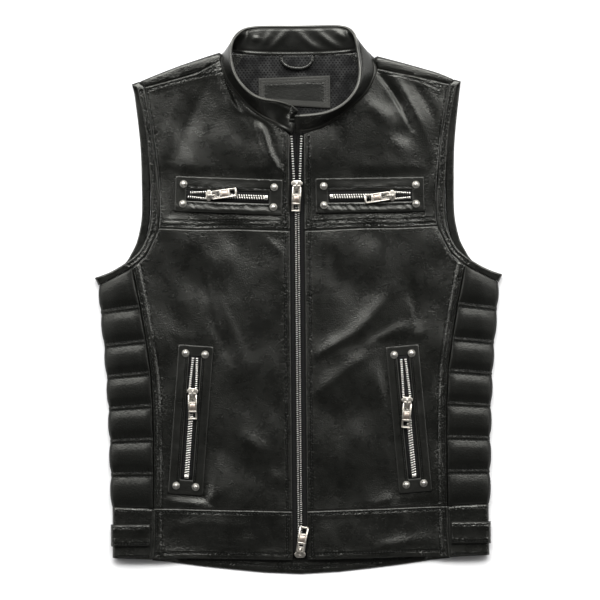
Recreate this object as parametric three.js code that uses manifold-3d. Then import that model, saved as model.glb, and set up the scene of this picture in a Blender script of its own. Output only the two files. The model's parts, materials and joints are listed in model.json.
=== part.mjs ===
// Leather zip vest laid flat on its back, front layer lying on the back layer.
// Millimetres, +Z up, +Y towards the collar, +X towards the wearer's left.
import * as THREE from 'three';
import { mergeVertices } from 'three/addons/utils/BufferGeometryUtils.js';
import Module from 'manifold-3d';

const wasm = await Module();
wasm.setup();

// Driving dimensions
const PANEL = 1.6;          // leather panel wall
const SIDE_WALL = 1.9;      // quilted side panel wall between its ridges
const BINDING = 2.0;        // armhole band wall
const COLLAR_WALL = 2.2;    // two leathers sewn back to back
const COLLAR_WIDTH = 31;    // seam to top edge, straight across
const LINING = 1.0;
const LABEL_WALL = 1.2;
const TAPE = 0.7;           // zip tape
const CHAIN_WIDTH = 7.2;
const CHAIN_HEIGHT = 2.4;
const SEAM_GAP = 0.4;       // between two pieces that meet at a seam
const LAY_GAP = 0.4;        // between a panel and what lies on it
const ZIP_X = -1.2;         // line of the main zip
const FRONT_EDGE = 9.4;     // front edge to the zip line
const QUILT_RISE = 2.6;     // padding of a side channel
const STUD_BASE = 4.9;      // radius
const STUD_HEIGHT = 3.9;
const LOOP_RADIUS = 2.2;    // hanger loop cord
const LOOP_HEIGHT = 5.0;    // underside of the hanger loop over the table
const HEM_Y = -332;
const GROUP_SHIFT_Y = 0.4;

// Leather of the pieces
const leather = (color, roughness) => ({ color, roughness, metalness: 0 });
const BLACK = leather(0x1b1b1d, 0.5);
const SOFT_BLACK = leather(0x222225, 0.55);
const MESH_GREY = leather(0x3a3c40, 0.9);
const TAPE_BLACK = leather(0x17171a, 0.85);
const NICKEL = { color: 0xb9b8b4, roughness: 0.28, metalness: 1 };

// ---------- outline tables, half of the garment, x from the middle ----------

// Side seam between front and side panel, with the side fold beside it.
// Every row below the first is a quilting line or a seam.
const SIDE = [
  { seamX: 213.3, seamY: 41.5, foldX: 255.4, foldY: 19.5 },
  { seamX: 203.6, seamY: -8.4, foldX: 253.4, foldY: -14.6 },
  { seamX: 196.4, seamY: -52.6, foldX: 249.2, foldY: -57.8 },
  { seamX: 190.9, seamY: -93.2, foldX: 246.3, foldY: -97.9 },
  { seamX: 188.8, seamY: -135.0, foldX: 244.3, foldY: -138.5 },
  { seamX: 188.2, seamY: -178.3, foldX: 243.0, foldY: -180.0 },
  { seamX: 188.2, seamY: -222.2, foldX: 242.3, foldY: -222.3 },
  { seamX: 188.7, seamY: -266.0, foldX: 241.0, foldY: -263.8 },
];
const SIDE_BAND = [
  { seamX: 188.7, seamY: -266.0, foldX: 241.0, foldY: -263.8 },
  { seamX: 189.0, seamY: -300.0, foldX: 241.0, foldY: -298.0 },
  { seamX: 191.0, seamY: -331.4, foldX: 241.4, foldY: -328.9 },
];
// Armhole band: seam against the panels and free edge, up the front and down the back.
const ARM_FRONT = [
  { seamX: 213.3, seamY: 42.2, edgeX: 220.0, edgeY: 49.2 },
  { seamX: 196.4, seamY: 57.0, edgeX: 204.0, edgeY: 62.9 },
  { seamX: 185.0, seamY: 78.0, edgeX: 193.6, edgeY: 82.5 },
  { seamX: 179.0, seamY: 92.5, edgeX: 189.2, edgeY: 97.0 },
  { seamX: 177.0, seamY: 115.0, edgeX: 187.7, edgeY: 115.0 },
  { seamX: 178.0, seamY: 147.0, edgeX: 188.9, edgeY: 147.0 },
  { seamX: 181.0, seamY: 182.0, edgeX: 191.0, edgeY: 181.0 },
  { seamX: 184.6, seamY: 212.0, edgeX: 193.6, edgeY: 211.0 },
  { seamX: 189.2, seamY: 240.0, edgeX: 197.8, edgeY: 238.0 },
  { seamX: 194.6, seamY: 270.5, edgeX: 204.2, edgeY: 268.5 },
];
const ARM_BACK = [
  { seamX: 197.0, seamY: 268.0, edgeX: 208.4, edgeY: 265.0 },
  { seamX: 194.4, seamY: 240.0, edgeX: 205.2, edgeY: 239.0 },
  { seamX: 191.4, seamY: 211.0, edgeX: 202.2, edgeY: 211.0 },
  { seamX: 189.6, seamY: 183.0, edgeX: 200.5, edgeY: 184.0 },
  { seamX: 189.0, seamY: 150.0, edgeX: 199.9, edgeY: 150.0 },
  { seamX: 189.4, seamY: 112.0, edgeX: 200.0, edgeY: 112.5 },
  { seamX: 193.0, seamY: 86.0, edgeX: 203.2, edgeY: 89.5 },
  { seamX: 200.0, seamY: 64.0, edgeX: 209.0, edgeY: 70.0 },
  { seamX: 213.3, seamY: 42.2, edgeX: 220.4, edgeY: 50.2 },
];
const UNDERARM = { seamX: 255.4, seamY: 20.2, edgeX: 260.4, edgeY: 30.0 };
// Shoulder: front seam and the fold above it, from the armhole to the neck.
const SHOULDER = {
  right: [
    { seamX: 194.6, seamY: 273.6, foldX: 200.4, foldY: 281.2 },
    { seamX: 178.0, seamY: 277.8, foldX: 182.5, foldY: 288.5 },
    { seamX: 161.0, seamY: 282.2, foldX: 165.0, foldY: 295.2 },
    { seamX: 145.0, seamY: 286.6, foldX: 148.9, foldY: 301.2 },
    { seamX: 128.4, seamY: 291.5, foldX: 131.0, foldY: 307.0 },
    { seamX: 113.0, seamY: 299.0, foldX: 114.5, foldY: 312.4 },
    { seamX: 98.6, seamY: 307.2, foldX: 98.9, foldY: 317.0 },
  ],
  left: [
    { seamX: 195.2, seamY: 274.2, foldX: 199.8, foldY: 280.6 },
    { seamX: 180.0, seamY: 278.0, foldX: 182.5, foldY: 288.2 },
    { seamX: 165.0, seamY: 281.5, foldX: 166.2, foldY: 293.2 },
    { seamX: 149.9, seamY: 285.1, foldX: 150.1, foldY: 298.0 },
    { seamX: 134.0, seamY: 288.2, foldX: 135.0, foldY: 302.3 },
    { seamX: 118.5, seamY: 291.2, foldX: 119.0, foldY: 306.6 },
    { seamX: 103.6, seamY: 294.4, foldX: 102.2, foldY: 311.0 },
  ],
};
// Collar: neck seam and top edge in plan from each front end to the middle of the back.
// base is the height of the lower edge; 'front' rows rest above the front panel.
const COLLAR = {
  right: [
    { seamX: 6.8, seamY: 213.0, topX: -4.2, topY: 237.5, base: 'front' },
    { seamX: 18.3, seamY: 218.9, topX: 6.5, topY: 248.0, base: 'front' },
    { seamX: 32.7, seamY: 226.3, topX: 24.0, topY: 253.2, base: 'front' },
    { seamX: 47.1, seamY: 235.0, topX: 41.5, topY: 255.2, base: 'front' },
    { seamX: 61.6, seamY: 246.9, topX: 55.6, topY: 260.6, base: 'front' },
    { seamX: 73.0, seamY: 260.1, topX: 66.5, topY: 269.8, base: 'front' },
    { seamX: 84.5, seamY: 274.7, topX: 75.4, topY: 281.2, base: 'front' },
    { seamX: 91.7, seamY: 287.9, topX: 80.6, topY: 293.6, base: 'front' },
    { seamX: 95.8, seamY: 300.0, topX: 83.0, topY: 307.0, base: 'front' },
    { seamX: 96.4, seamY: 309.0, topX: 83.2, topY: 320.0, base: 8.3 },
    { seamX: 92.8, seamY: 315.9, topX: 80.6, topY: 331.5, base: 4.6 },
    { seamX: 84.0, seamY: 317.8, topX: 73.0, topY: 341.8, base: 2.5 },
    { seamX: 70.0, seamY: 316.2, topX: 61.5, topY: 349.0, base: 1.5 },
    { seamX: 48.0, seamY: 314.4, topX: 43.5, topY: 350.6, base: 1.3 },
    { seamX: 24.0, seamY: 313.6, topX: 22.0, topY: 350.6, base: 1.3 },
  ],
  middle: { seamX: 0, seamY: 313.4, topX: 0, topY: 350.4, base: 1.3 },
  left: [
    { seamX: 7.2, seamY: 212.8, topX: 7.6, topY: 233.3, base: 'front' },
    { seamX: 24.0, seamY: 216.9, topX: 22.8, topY: 234.6, base: 'front' },
    { seamX: 41.9, seamY: 226.6, topX: 38.6, topY: 237.8, base: 'front' },
    { seamX: 54.2, seamY: 234.2, topX: 50.2, topY: 242.6, base: 'front' },
    { seamX: 66.1, seamY: 243.0, topX: 62.0, topY: 250.3, base: 'front' },
    { seamX: 80.6, seamY: 255.8, topX: 72.5, topY: 262.5, base: 'front' },
    { seamX: 90.9, seamY: 267.4, topX: 78.0, topY: 275.0, base: 'front' },
    { seamX: 98.3, seamY: 281.8, topX: 79.8, topY: 288.6, base: 'front' },
    { seamX: 101.0, seamY: 293.0, topX: 79.2, topY: 302.0, base: 8.6 },
    { seamX: 98.9, seamY: 304.0, topX: 77.0, topY: 319.0, base: 6.4 },
    { seamX: 93.0, seamY: 313.0, topX: 75.2, topY: 332.0, base: 4.2 },
    { seamX: 84.0, seamY: 317.2, topX: 70.6, topY: 342.5, base: 2.5 },
    { seamX: 70.0, seamY: 316.2, topX: 60.5, topY: 349.6, base: 1.5 },
    { seamX: 48.0, seamY: 314.4, topX: 43.5, topY: 350.8, base: 1.3 },
    { seamX: 24.0, seamY: 313.6, topX: 22.0, topY: 350.6, base: 1.3 },
  ],
};
// Cross seams: x from the middle, y of the seam.
const YOKE_LINE = [[10, 88], [85, 90.7], [130, 90.3], [179, 92.5]];
const BAND_LINE = [[10, -271.3], [83, -269.1], [150, -267], [188.7, -266]];
const FRONT_HEM = [[10, -334.0], [83, -332.4], [145, -330.8], [191, -331.6]];
const BACK_HEM = [[0, -351.6], [48, -349.2], [90, -344.8], [130, -340.2], [165, -335.4], [191, -333.0]];

// ---------- height of the front layer's top over the table ----------

const BASE_HEIGHT = 6.4;
const NECK_RISE = 3.6;
const SIDE_RISE = 5.2;
const TIP_RISE = 1.4;
// Largest soft folds of the front: a ridge (+) or trough (-) along a line, on its own side.
const FOLDS = [
  { fromX: -97, fromY: 289, toX: -79, toY: 249, width: 11, height: 1.6 },
  { fromX: -79, fromY: 249, toX: -49, toY: 227, width: 12, height: 2.0 },
  { fromX: -49, fromY: 227, toX: -34, toY: 190, width: 11, height: 2.2 },
  { fromX: -119, fromY: 270, toX: -141, toY: 225, width: 12, height: -1.6 },
  { fromX: -141, fromY: 225, toX: -161, toY: 180, width: 12, height: -1.3 },
  { fromX: -153, fromY: 257, toX: -166, toY: 185, width: 12, height: 1.2 },
  { fromX: 104, fromY: 284, toX: 127, toY: 256, width: 11, height: -1.6 },
  { fromX: 127, fromY: 256, toX: 146, toY: 219, width: 11, height: -1.4 },
  { fromX: 132, fromY: 272, toX: 157, toY: 219, width: 11, height: 1.8 },
  { fromX: 92, fromY: 245, toX: 130, toY: 196, width: 16, height: 1.2 },
  { fromX: -126, fromY: 55, toX: -98, toY: -45, width: 13, height: -1.6 },
  { fromX: -108, fromY: 40, toX: -74, toY: -74, width: 13, height: 1.6 },
  { fromX: 34, fromY: -68, toX: 76, toY: -41, width: 12, height: 1.5 },
  { fromX: 76, fromY: -41, toX: 116, toY: 3, width: 12, height: 1.4 },
  { fromX: 34, fromY: -115, toX: 92, toY: -68, width: 12, height: 1.3 },
  { fromX: 141, fromY: 30, toX: 152, toY: -30, width: 12, height: -1.4 },
  { fromX: -70, fromY: -150, toX: -55, toY: -210, width: 18, height: 1.3 },
  { fromX: 60, fromY: -200, toX: 95, toY: -160, width: 18, height: 1.1 },
];
// Pockets, measured about the patch's middle: its place, turn and size, the slider's, the stop's
// and the open end's distance along it, the zip's distance across it, and the pull's swing.
const POCKETS = {
  right_chest_pocket: {
    x: -88.8, y: 133.6, turn: -2.6, length: 137, width: 45,
    slider: -22, stop: 49, open: -51, zip: -1.0, pull: 10.5,
  },
  left_chest_pocket: {
    x: 92.2, y: 132.9, turn: 0.4, length: 139, width: 44,
    slider: 25.5, stop: -50, open: 51, zip: -1.5, pull: 7.5,
  },
  right_side_pocket: {
    x: -139.8, y: -153.4, turn: 85.4, length: 191, width: 44.6,
    slider: 34, stop: -73.5, open: 79, zip: 0.0, pull: 4.5,
  },
  left_side_pocket: {
    x: 139.6, y: -154.4, turn: 94.8, length: 188, width: 42,
    slider: 21.5, stop: -73.5, open: 79, zip: 0.0, pull: -9.5,
  },
};

const rad = (degrees) => degrees * Math.PI / 180;
const lerp = (a, b, t) => a + (b - a) * t;
const smooth = (from, to, x) => {
  const t = Math.min(1, Math.max(0, (x - from) / (to - from)));
  return t * t * (3 - 2 * t);
};

// Near a patch or the zip the panel lies plain: 0 there, 1 away from it.
function looseness(x, y) {
  let free = smooth(FRONT_EDGE + 6, FRONT_EDGE + 34, Math.abs(x - ZIP_X));
  for (const p of Object.values(POCKETS)) {
    const c = Math.cos(rad(p.turn));
    const s = Math.sin(rad(p.turn));
    const u = Math.abs((x - p.x) * c + (y - p.y) * s) - p.length / 2;
    const v = Math.abs(-(x - p.x) * s + (y - p.y) * c) - p.width / 2;
    free *= smooth(2, 30, Math.max(u, v));
  }
  return free;
}

function frontTop(x, y) {
  const neck = Math.hypot(x, y - 285);
  let h = BASE_HEIGHT + NECK_RISE * smooth(165, 92, neck);
  h += SIDE_RISE * smooth(150, 222, Math.abs(x)) * smooth(115, 40, y);
  h += TIP_RISE * smooth(75, 15, Math.hypot(Math.abs(x) - 200, y - 272));
  const free = looseness(x, y);
  if (free > 0) {
    for (const f of FOLDS) {
      const dx = f.toX - f.fromX;
      const dy = f.toY - f.fromY;
      const t = Math.min(1, Math.max(0, ((x - f.fromX) * dx + (y - f.fromY) * dy) / (dx * dx + dy * dy)));
      const away = Math.hypot(x - f.fromX - t * dx, y - f.fromY - t * dy);
      h += free * f.height * Math.exp(-0.5 * (away / f.width) ** 2);
    }
  }
  return h;
}

// ---------- solids from rows of points ----------

// Closed body from points and triangles, its faces turned outwards.
function closedBody(positions, index) {
  let volume = 0;
  for (let i = 0; i < index.length; i += 3) {
    const [a, b, c] = [0, 1, 2].map((k) => new THREE.Vector3().fromArray(positions, 3 * index[i + k]));
    volume += a.dot(b.cross(c));
  }
  const turned = volume > 0 ? index : index.map((n, i) => index[i % 3 === 1 ? i + 1 : i % 3 === 2 ? i - 1 : i]);
  const geometry = new THREE.BufferGeometry();
  geometry.setAttribute('position', new THREE.Float32BufferAttribute(positions, 3));
  geometry.setIndex(turned);
  return geometry;
}

// A wall between two grids of points with its edges closed. wrap joins the last row to the
// first, ring joins the last column to the first.
function wall(outer, inner, { wrap = false, ring = false } = {}) {
  const rows = outer.length;
  const cols = outer[0].length;
  const positions = [];
  for (const grid of [outer, inner]) {
    for (const row of grid) {
      for (const p of row) positions.push(p[0], p[1], p[2]);
    }
  }
  const at = (face, i, j) => face * rows * cols + (i % rows) * cols + (j % cols);
  const index = [];
  const quad = (a, b, c, d, cross) => {
    const tris = cross ? [[a, b, d], [b, c, d]] : [[a, b, c], [a, c, d]];
    index.push(...tris.flat());
  };
  const distance = (p, q) => Math.hypot(p[0] - q[0], p[1] - q[1], p[2] - q[2]);
  const lastRow = wrap ? rows : rows - 1;
  const lastCol = ring ? cols : cols - 1;
  for (let i = 0; i < lastRow; i += 1) {
    for (let j = 0; j < lastCol; j += 1) {
      const i1 = (i + 1) % rows;
      const j1 = (j + 1) % cols;
      const cross = distance(outer[i][j], outer[i1][j1]) > distance(outer[i][j1], outer[i1][j]);
      quad(at(0, i, j), at(0, i, j + 1), at(0, i + 1, j + 1), at(0, i + 1, j), cross);
      quad(at(1, i, j), at(1, i + 1, j), at(1, i + 1, j + 1), at(1, i, j + 1), cross);
    }
  }
  if (!wrap) {
    for (let j = 0; j < lastCol; j += 1) {
      quad(at(0, 0, j), at(1, 0, j), at(1, 0, j + 1), at(0, 0, j + 1), false);
      quad(at(0, rows - 1, j), at(0, rows - 1, j + 1), at(1, rows - 1, j + 1), at(1, rows - 1, j), false);
    }
  }
  if (!ring) {
    for (let i = 0; i < lastRow; i += 1) {
      quad(at(0, i, 0), at(0, i + 1, 0), at(1, i + 1, 0), at(1, i, 0), false);
      quad(at(0, i, cols - 1), at(1, i, cols - 1), at(1, i + 1, cols - 1), at(0, i + 1, cols - 1), false);
    }
  }
  return closedBody(positions, index);
}

// Joins solids that share a volume into one closed body, or takes the rest from the first.
const toManifold = (geometry) => {
  const bare = new THREE.BufferGeometry();
  bare.setAttribute('position', geometry.getAttribute('position').clone());
  if (geometry.index) bare.setIndex(geometry.index.clone());
  const merged = mergeVertices(bare, 1e-4);
  return new wasm.Manifold(new wasm.Mesh({
    numProp: 3,
    vertProperties: new Float32Array(merged.getAttribute('position').array),
    triVerts: new Uint32Array(merged.index.array),
  }));
};
const fromManifold = (body) => {
  const mesh = body.getMesh();
  const geometry = new THREE.BufferGeometry();
  geometry.setAttribute('position', new THREE.BufferAttribute(new Float32Array(mesh.vertProperties), 3));
  geometry.setIndex(new THREE.BufferAttribute(new Uint32Array(mesh.triVerts), 1));
  return geometry;
};
const fuse = (first, ...rest) => fromManifold(
  rest.reduce((body, g) => body.add(toManifold(g)), toManifold(first)));

// Even samples along a line, both ends kept.
function along(line, count) {
  const lengths = [0];
  for (let i = 1; i < line.length; i += 1) {
    lengths.push(lengths[i - 1] + Math.hypot(line[i][0] - line[i - 1][0], line[i][1] - line[i - 1][1]));
  }
  const points = [];
  for (let k = 0; k <= count; k += 1) {
    const want = lengths[lengths.length - 1] * k / count;
    let i = 1;
    while (i < line.length - 1 && lengths[i] < want) i += 1;
    const t = (want - lengths[i - 1]) / (lengths[i] - lengths[i - 1]);
    points.push([lerp(line[i - 1][0], line[i][0], t), lerp(line[i - 1][1], line[i][1], t)]);
  }
  return points;
}

// Rows between the table's rows, on the smooth curve through all of them.
function refine(table, parts) {
  const keys = Object.keys(table[0]);
  const out = [];
  for (let i = 0; i < table.length - 1; i += 1) {
    const rows = [table[Math.max(0, i - 1)], table[i], table[i + 1], table[Math.min(table.length - 1, i + 2)]];
    for (let k = 0; k < parts; k += 1) {
      const t = k / parts;
      const row = {};
      for (const key of keys) {
        const [a, b, c, d] = rows.map((r) => r[key]);
        row[key] = 0.5 * (2 * b + (c - a) * t + (2 * a - 5 * b + 4 * c - d) * t * t
          + (3 * b - 3 * c + d - a) * t ** 3);
      }
      out.push(row);
    }
  }
  out.push(table[table.length - 1]);
  return out;
}

// Points of a patch from its four edges; bottom and top run outwards, inner and outer upwards.
function coons(bottom, top, inner, outer) {
  const cols = bottom.length - 1;
  const rows = inner.length - 1;
  const grid = [];
  for (let i = 0; i <= rows; i += 1) {
    const v = i / rows;
    const row = [];
    for (let j = 0; j <= cols; j += 1) {
      const u = j / cols;
      row.push([0, 1].map((k) => lerp(inner[i][k], outer[i][k], u) + lerp(bottom[j][k], top[j][k], v)
        - lerp(lerp(bottom[0][k], bottom[cols][k], u), lerp(top[0][k], top[cols][k], u), v)));
    }
    grid.push(row);
  }
  return grid;
}

const group = new THREE.Group();
function add(name, geometry, look, place = group) {
  const mesh = new THREE.Mesh(geometry, new THREE.MeshStandardMaterial(look));
  mesh.name = name;
  place.add(mesh);
  return mesh;
}

// A front panel from its plan grid: top on the front height, wall down from it.
function panel(name, grid, sign, look) {
  const lift = (drop) => grid.map((row) => row.map(([x, y]) => {
    return [sign * x, y, frontTop(sign * x, y) - drop];
  }));
  add(name, wall(lift(0), lift(PANEL)), look);
}

// Cross section that runs out over the front, round a fold and back along the table.
// Stations carry the distance out, the height of the wall's middle and its outward direction.
function foldSection(reach, topHeight, thickness, frontSteps, foldSteps, backSteps) {
  const high = topHeight(1) - thickness / 2;
  const low = thickness / 2;
  const radius = (high - low) / 2;
  const straight = reach - radius - thickness / 2;
  const stations = [];
  for (let k = 0; k < frontSteps; k += 1) {
    const t = k / frontSteps;
    const rise = topHeight(t * straight / reach);
    const ahead = topHeight((t + 0.02) * straight / reach);
    const slope = (ahead - rise) / (0.02 * straight);
    const size = Math.hypot(1, slope);
    stations.push({ out: t * straight, z: rise - thickness / 2, dirOut: -slope / size, dirUp: 1 / size });
  }
  for (let k = 0; k <= foldSteps; k += 1) {
    const a = Math.PI * k / foldSteps;
    stations.push({
      out: straight + radius * Math.sin(a), z: low + radius + radius * Math.cos(a),
      dirOut: Math.sin(a), dirUp: Math.cos(a),
    });
  }
  for (let k = 1; k <= backSteps; k += 1) {
    stations.push({ out: straight * (1 - k / backSteps), z: low, dirOut: 0, dirUp: -1 });
  }
  return stations;
}

// ---------- the two sides ----------

const COLUMNS = 12;
const SIDE_SPLIT = 2;   // shared seam samples between two quilting lines
const sideRows = refine(SIDE, SIDE_SPLIT).reverse();
const armRows = refine(ARM_FRONT, 2);
const YOKE_ROW = 6;     // armhole sample where the yoke seam meets it

for (const sign of [-1, 1]) {
  const side = sign < 0 ? 'right' : 'left';
  const edgeX = FRONT_EDGE + sign * ZIP_X;
  const half = SEAM_GAP / 2;
  const inset = (row, dx, dy) => [row.seamX - dx, row.seamY - dy];
  const cross = (line, raise) => along([[edgeX, line[0][1]], ...line.slice(1)], COLUMNS)
    .map(([x, y]) => [x, y + raise]);
  const straight = (fromY, toY, count) => along([[edgeX, fromY], [edgeX, toY]], count);

  // Lower front: from the waistband seam to the yoke seam.
  const lowerOuter = [
    ...sideRows.map((r) => inset(r, half, 0)),
    ...armRows.slice(1, YOKE_ROW + 1).map((r) => inset(r, half, half * 0.7)),
  ];
  lowerOuter[0][1] += half;
  lowerOuter[lowerOuter.length - 1][1] -= half;
  const lowerTop = cross(YOKE_LINE, -half);
  lowerTop[COLUMNS] = lowerOuter[lowerOuter.length - 1];
  const lowerBottom = cross(BAND_LINE, half);
  lowerBottom[COLUMNS] = lowerOuter[0];
  panel(`${side}_front`, coons(lowerBottom, lowerTop,
    straight(lowerBottom[0][1], lowerTop[0][1], lowerOuter.length - 1), lowerOuter), sign, BLACK);

  // Chest: from the yoke seam to the neck, shoulder and armhole.
  const shoulder = refine(SHOULDER[side], 2);
  const chestOuter = armRows.slice(YOKE_ROW).map((r) => inset(r, half, 0));
  chestOuter[0][1] += half;
  chestOuter[chestOuter.length - 1] = [shoulder[0].seamX - half, shoulder[0].seamY - half];
  const chestTop = [...shoulder].reverse().map((r) => [r.seamX, r.seamY - half]);
  chestTop[COLUMNS] = chestOuter[chestOuter.length - 1];
  const neckLine = COLLAR[side].filter((r) => r.base === 'front').map((r) => [r.seamX, r.seamY]);
  neckLine[0][0] = edgeX;
  const reachOut = chestTop[0][0] - neckLine[neckLine.length - 1][0];
  neckLine[neckLine.length - 1][0] += Math.max(0.5, reachOut * 0.3);
  neckLine.push(chestTop[0]);
  const chestBottom = cross(YOKE_LINE, half);
  chestBottom[COLUMNS] = chestOuter[0];
  const chestInner = [...straight(chestBottom[0][1], neckLine[0][1], 5).slice(0, -1),
    ...along(neckLine, chestOuter.length - 6)];
  panel(`${side}_chest`, coons(chestBottom, chestTop, chestInner, chestOuter), sign, BLACK);

  // Waistband, front part.
  const bandOuter = refine(SIDE_BAND, SIDE_SPLIT).reverse().map((r) => inset(r, half, 0));
  bandOuter[bandOuter.length - 1][1] -= half;
  const bandTop = cross(BAND_LINE, -half);
  bandTop[COLUMNS] = bandOuter[bandOuter.length - 1];
  const bandBottom = cross(FRONT_HEM, 0);
  bandBottom[COLUMNS] = bandOuter[0];
  panel(`${side}_front_band`, coons(bandBottom, bandTop,
    straight(bandBottom[0][1], bandTop[0][1], bandOuter.length - 1), bandOuter), sign, BLACK);

  // Side panel with its quilted channels, and the side part of the waistband.
  const wrapPanel = (name, table, split, swell, clearTop, clearBottom) => {
    const rows = refine(table, SIDE_SPLIT).reverse();
    const fine = [];
    for (let i = 0; i < rows.length - 1; i += 1) {
      for (let k = 0; k < split; k += 1) {
        const t = k / split;
        const row = {};
        for (const key of Object.keys(rows[0])) row[key] = lerp(rows[i][key], rows[i + 1][key], t);
        fine.push({ ...row, channel: (i + t) / SIDE_SPLIT });
      }
    }
    fine.push({ ...rows[rows.length - 1], channel: (rows.length - 1) / SIDE_SPLIT });
    fine[0].seamY += clearBottom;
    fine[0].foldY += clearBottom;
    fine[fine.length - 1].seamY -= clearTop;
    fine[fine.length - 1].foldY -= clearTop;
    const outer = [];
    const inner = [];
    for (const row of fine) {
      const fromX = row.seamX + half;
      const dx = row.foldX - fromX;
      const dy = row.foldY - row.seamY;
      const reach = Math.hypot(dx, dy);
      const height = (t) => frontTop(sign * (fromX + dx * t), row.seamY + dy * t);
      const stations = foldSection(reach, height, SIDE_WALL, 5, 6, 2);
      const puff = swell * Math.abs(Math.sin(Math.PI * row.channel)) ** 0.7;
      const place = (s, shift) => {
        const out = s.out + s.dirOut * shift;
        return [sign * (fromX + dx * out / reach), row.seamY + dy * out / reach, s.z + s.dirUp * shift];
      };
      const count = stations.length - 1;
      outer.push(stations.map((s, k) => {
        const onBack = s.dirOut < 0.001 && s.dirUp < 0;
        const edge = smooth(0, 1.2, k) * (onBack ? 0 : 1) * (s.dirUp < -0.2 ? 0 : 1);
        return place(s, SIDE_WALL / 2 + (k < count ? puff * edge * (0.75 + 0.25 * s.dirUp) : 0));
      }));
      inner.push(stations.map((s) => place(s, -SIDE_WALL / 2)));
    }
    add(`${side}_${name}`, wall(outer, inner), BLACK);
  };
  wrapPanel('side', SIDE, 2, QUILT_RISE, 0, half);
  wrapPanel('side_band', SIDE_BAND, 1, 0, half, 0);
}

// Side straps: lie on the waistband's side part and pass round the fold.
const STRAP = {
  bandSeamX: 188.9, bandFoldX: 241.1, fromX: 192.9, topY: -286.4, bottomY: -314.2, wall: 1.9,
  end: 132,                 // degrees round the fold to the strap's end
};
for (const sign of [-1, 1]) {
  const side = sign < 0 ? 'right' : 'left';
  const fromX = STRAP.bandSeamX + SEAM_GAP / 2;
  const outer = [];
  const inner = [];
  for (const t of [0, 0.5, 1]) {
    const y = lerp(STRAP.bottomY, STRAP.topY, t);
    const reach = STRAP.bandFoldX - fromX;
    const height = (u) => frontTop(sign * (fromX + reach * u), y);
    const under = foldSection(reach, height, SIDE_WALL, 8, 12, 1);
    const stations = under.filter((st) => fromX + st.out >= STRAP.fromX - 3
      && st.dirUp >= Math.cos(rad(STRAP.end)));
    stations[0] = { ...stations[0], out: STRAP.fromX - fromX };
    const place = (st, shift) => [sign * (fromX + st.out + st.dirOut * shift), y, st.z + st.dirUp * shift];
    const base = SIDE_WALL / 2 + LAY_GAP;
    outer.push(stations.map((st) => place(st, base + STRAP.wall)));
    inner.push(stations.map((st) => place(st, base)));
  }
  add(`${side}_side_strap`, wall(outer, inner), SOFT_BLACK);
}

// ---------- back ----------

// One flat sheet on the table. Its shoulders roll over to the front seam.
const BACK_NECK = [[98.5, 310.5], [84, 315.8], [70, 315.2], [48, 313.4], [24, 312.6], [0, 312.4]];
const BACK_HEM_END = 190.6;
const ROLL_TUCK = { inX: 0.8, firstInX: 5.6, inY: 9 };   // sheet's edge inside the roll's fold
const backHalf = (side) => [
  ...BACK_HEM.map(([x, y]) => [Math.min(x, BACK_HEM_END), y]),
  ...refine(SIDE_BAND, SIDE_SPLIT).reverse().slice(1, -1).map((r) => [r.seamX - SEAM_GAP / 2, r.seamY]),
  ...sideRows.map((r) => [r.seamX - SEAM_GAP / 2, r.seamY]),
  ...refine(ARM_BACK, 2).reverse().slice(1).map((r) => [r.seamX - SEAM_GAP / 2, r.seamY]),
  ...SHOULDER[side].map((r, k) => [r.foldX - (k ? ROLL_TUCK.inX : ROLL_TUCK.firstInX), r.foldY - ROLL_TUCK.inY]),
  ...BACK_NECK,
];
const outline = [
  ...backHalf('left'),
  ...backHalf('right').slice(1, -1).reverse().map(([x, y]) => [-x, y]),
];
const backShape = new THREE.Shape(outline.map(([x, y]) => new THREE.Vector2(x, y)));
const rolls = [-1, 1].map((sign) => {
  const rows = refine(SHOULDER[sign < 0 ? 'right' : 'left'], 2);
  const outer = [];
  const inner = [];
  for (const row of rows) {
    const dx = row.foldX - row.seamX;
    const dy = row.foldY - row.seamY;
    const reach = Math.hypot(dx, dy);
    const fromX = row.seamX + dx / reach * SEAM_GAP / 2;
    const fromY = row.seamY + dy / reach * SEAM_GAP / 2;
    const span = reach - SEAM_GAP / 2;
    const height = (t) => frontTop(sign * (row.seamX + dx * t), row.seamY + dy * t);
    const stations = foldSection(span, height, PANEL, 2, 6, 0);
    stations.push({ out: -2, z: PANEL / 2, dirOut: 0, dirUp: -1 });
    const place = (st, shift) => {
      const out = st.out + st.dirOut * shift;
      return [sign * (fromX + dx / reach * out), fromY + dy / reach * out, st.z + st.dirUp * shift];
    };
    outer.push(stations.map((st) => place(st, PANEL / 2)));
    inner.push(stations.map((st) => place(st, -PANEL / 2)));
  }
  return wall(outer, inner);
});
add('back_body', fuse(new THREE.ExtrudeGeometry(backShape, { depth: PANEL, bevelEnabled: false }), ...rolls), BLACK);

// ---------- armhole bands ----------

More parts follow.
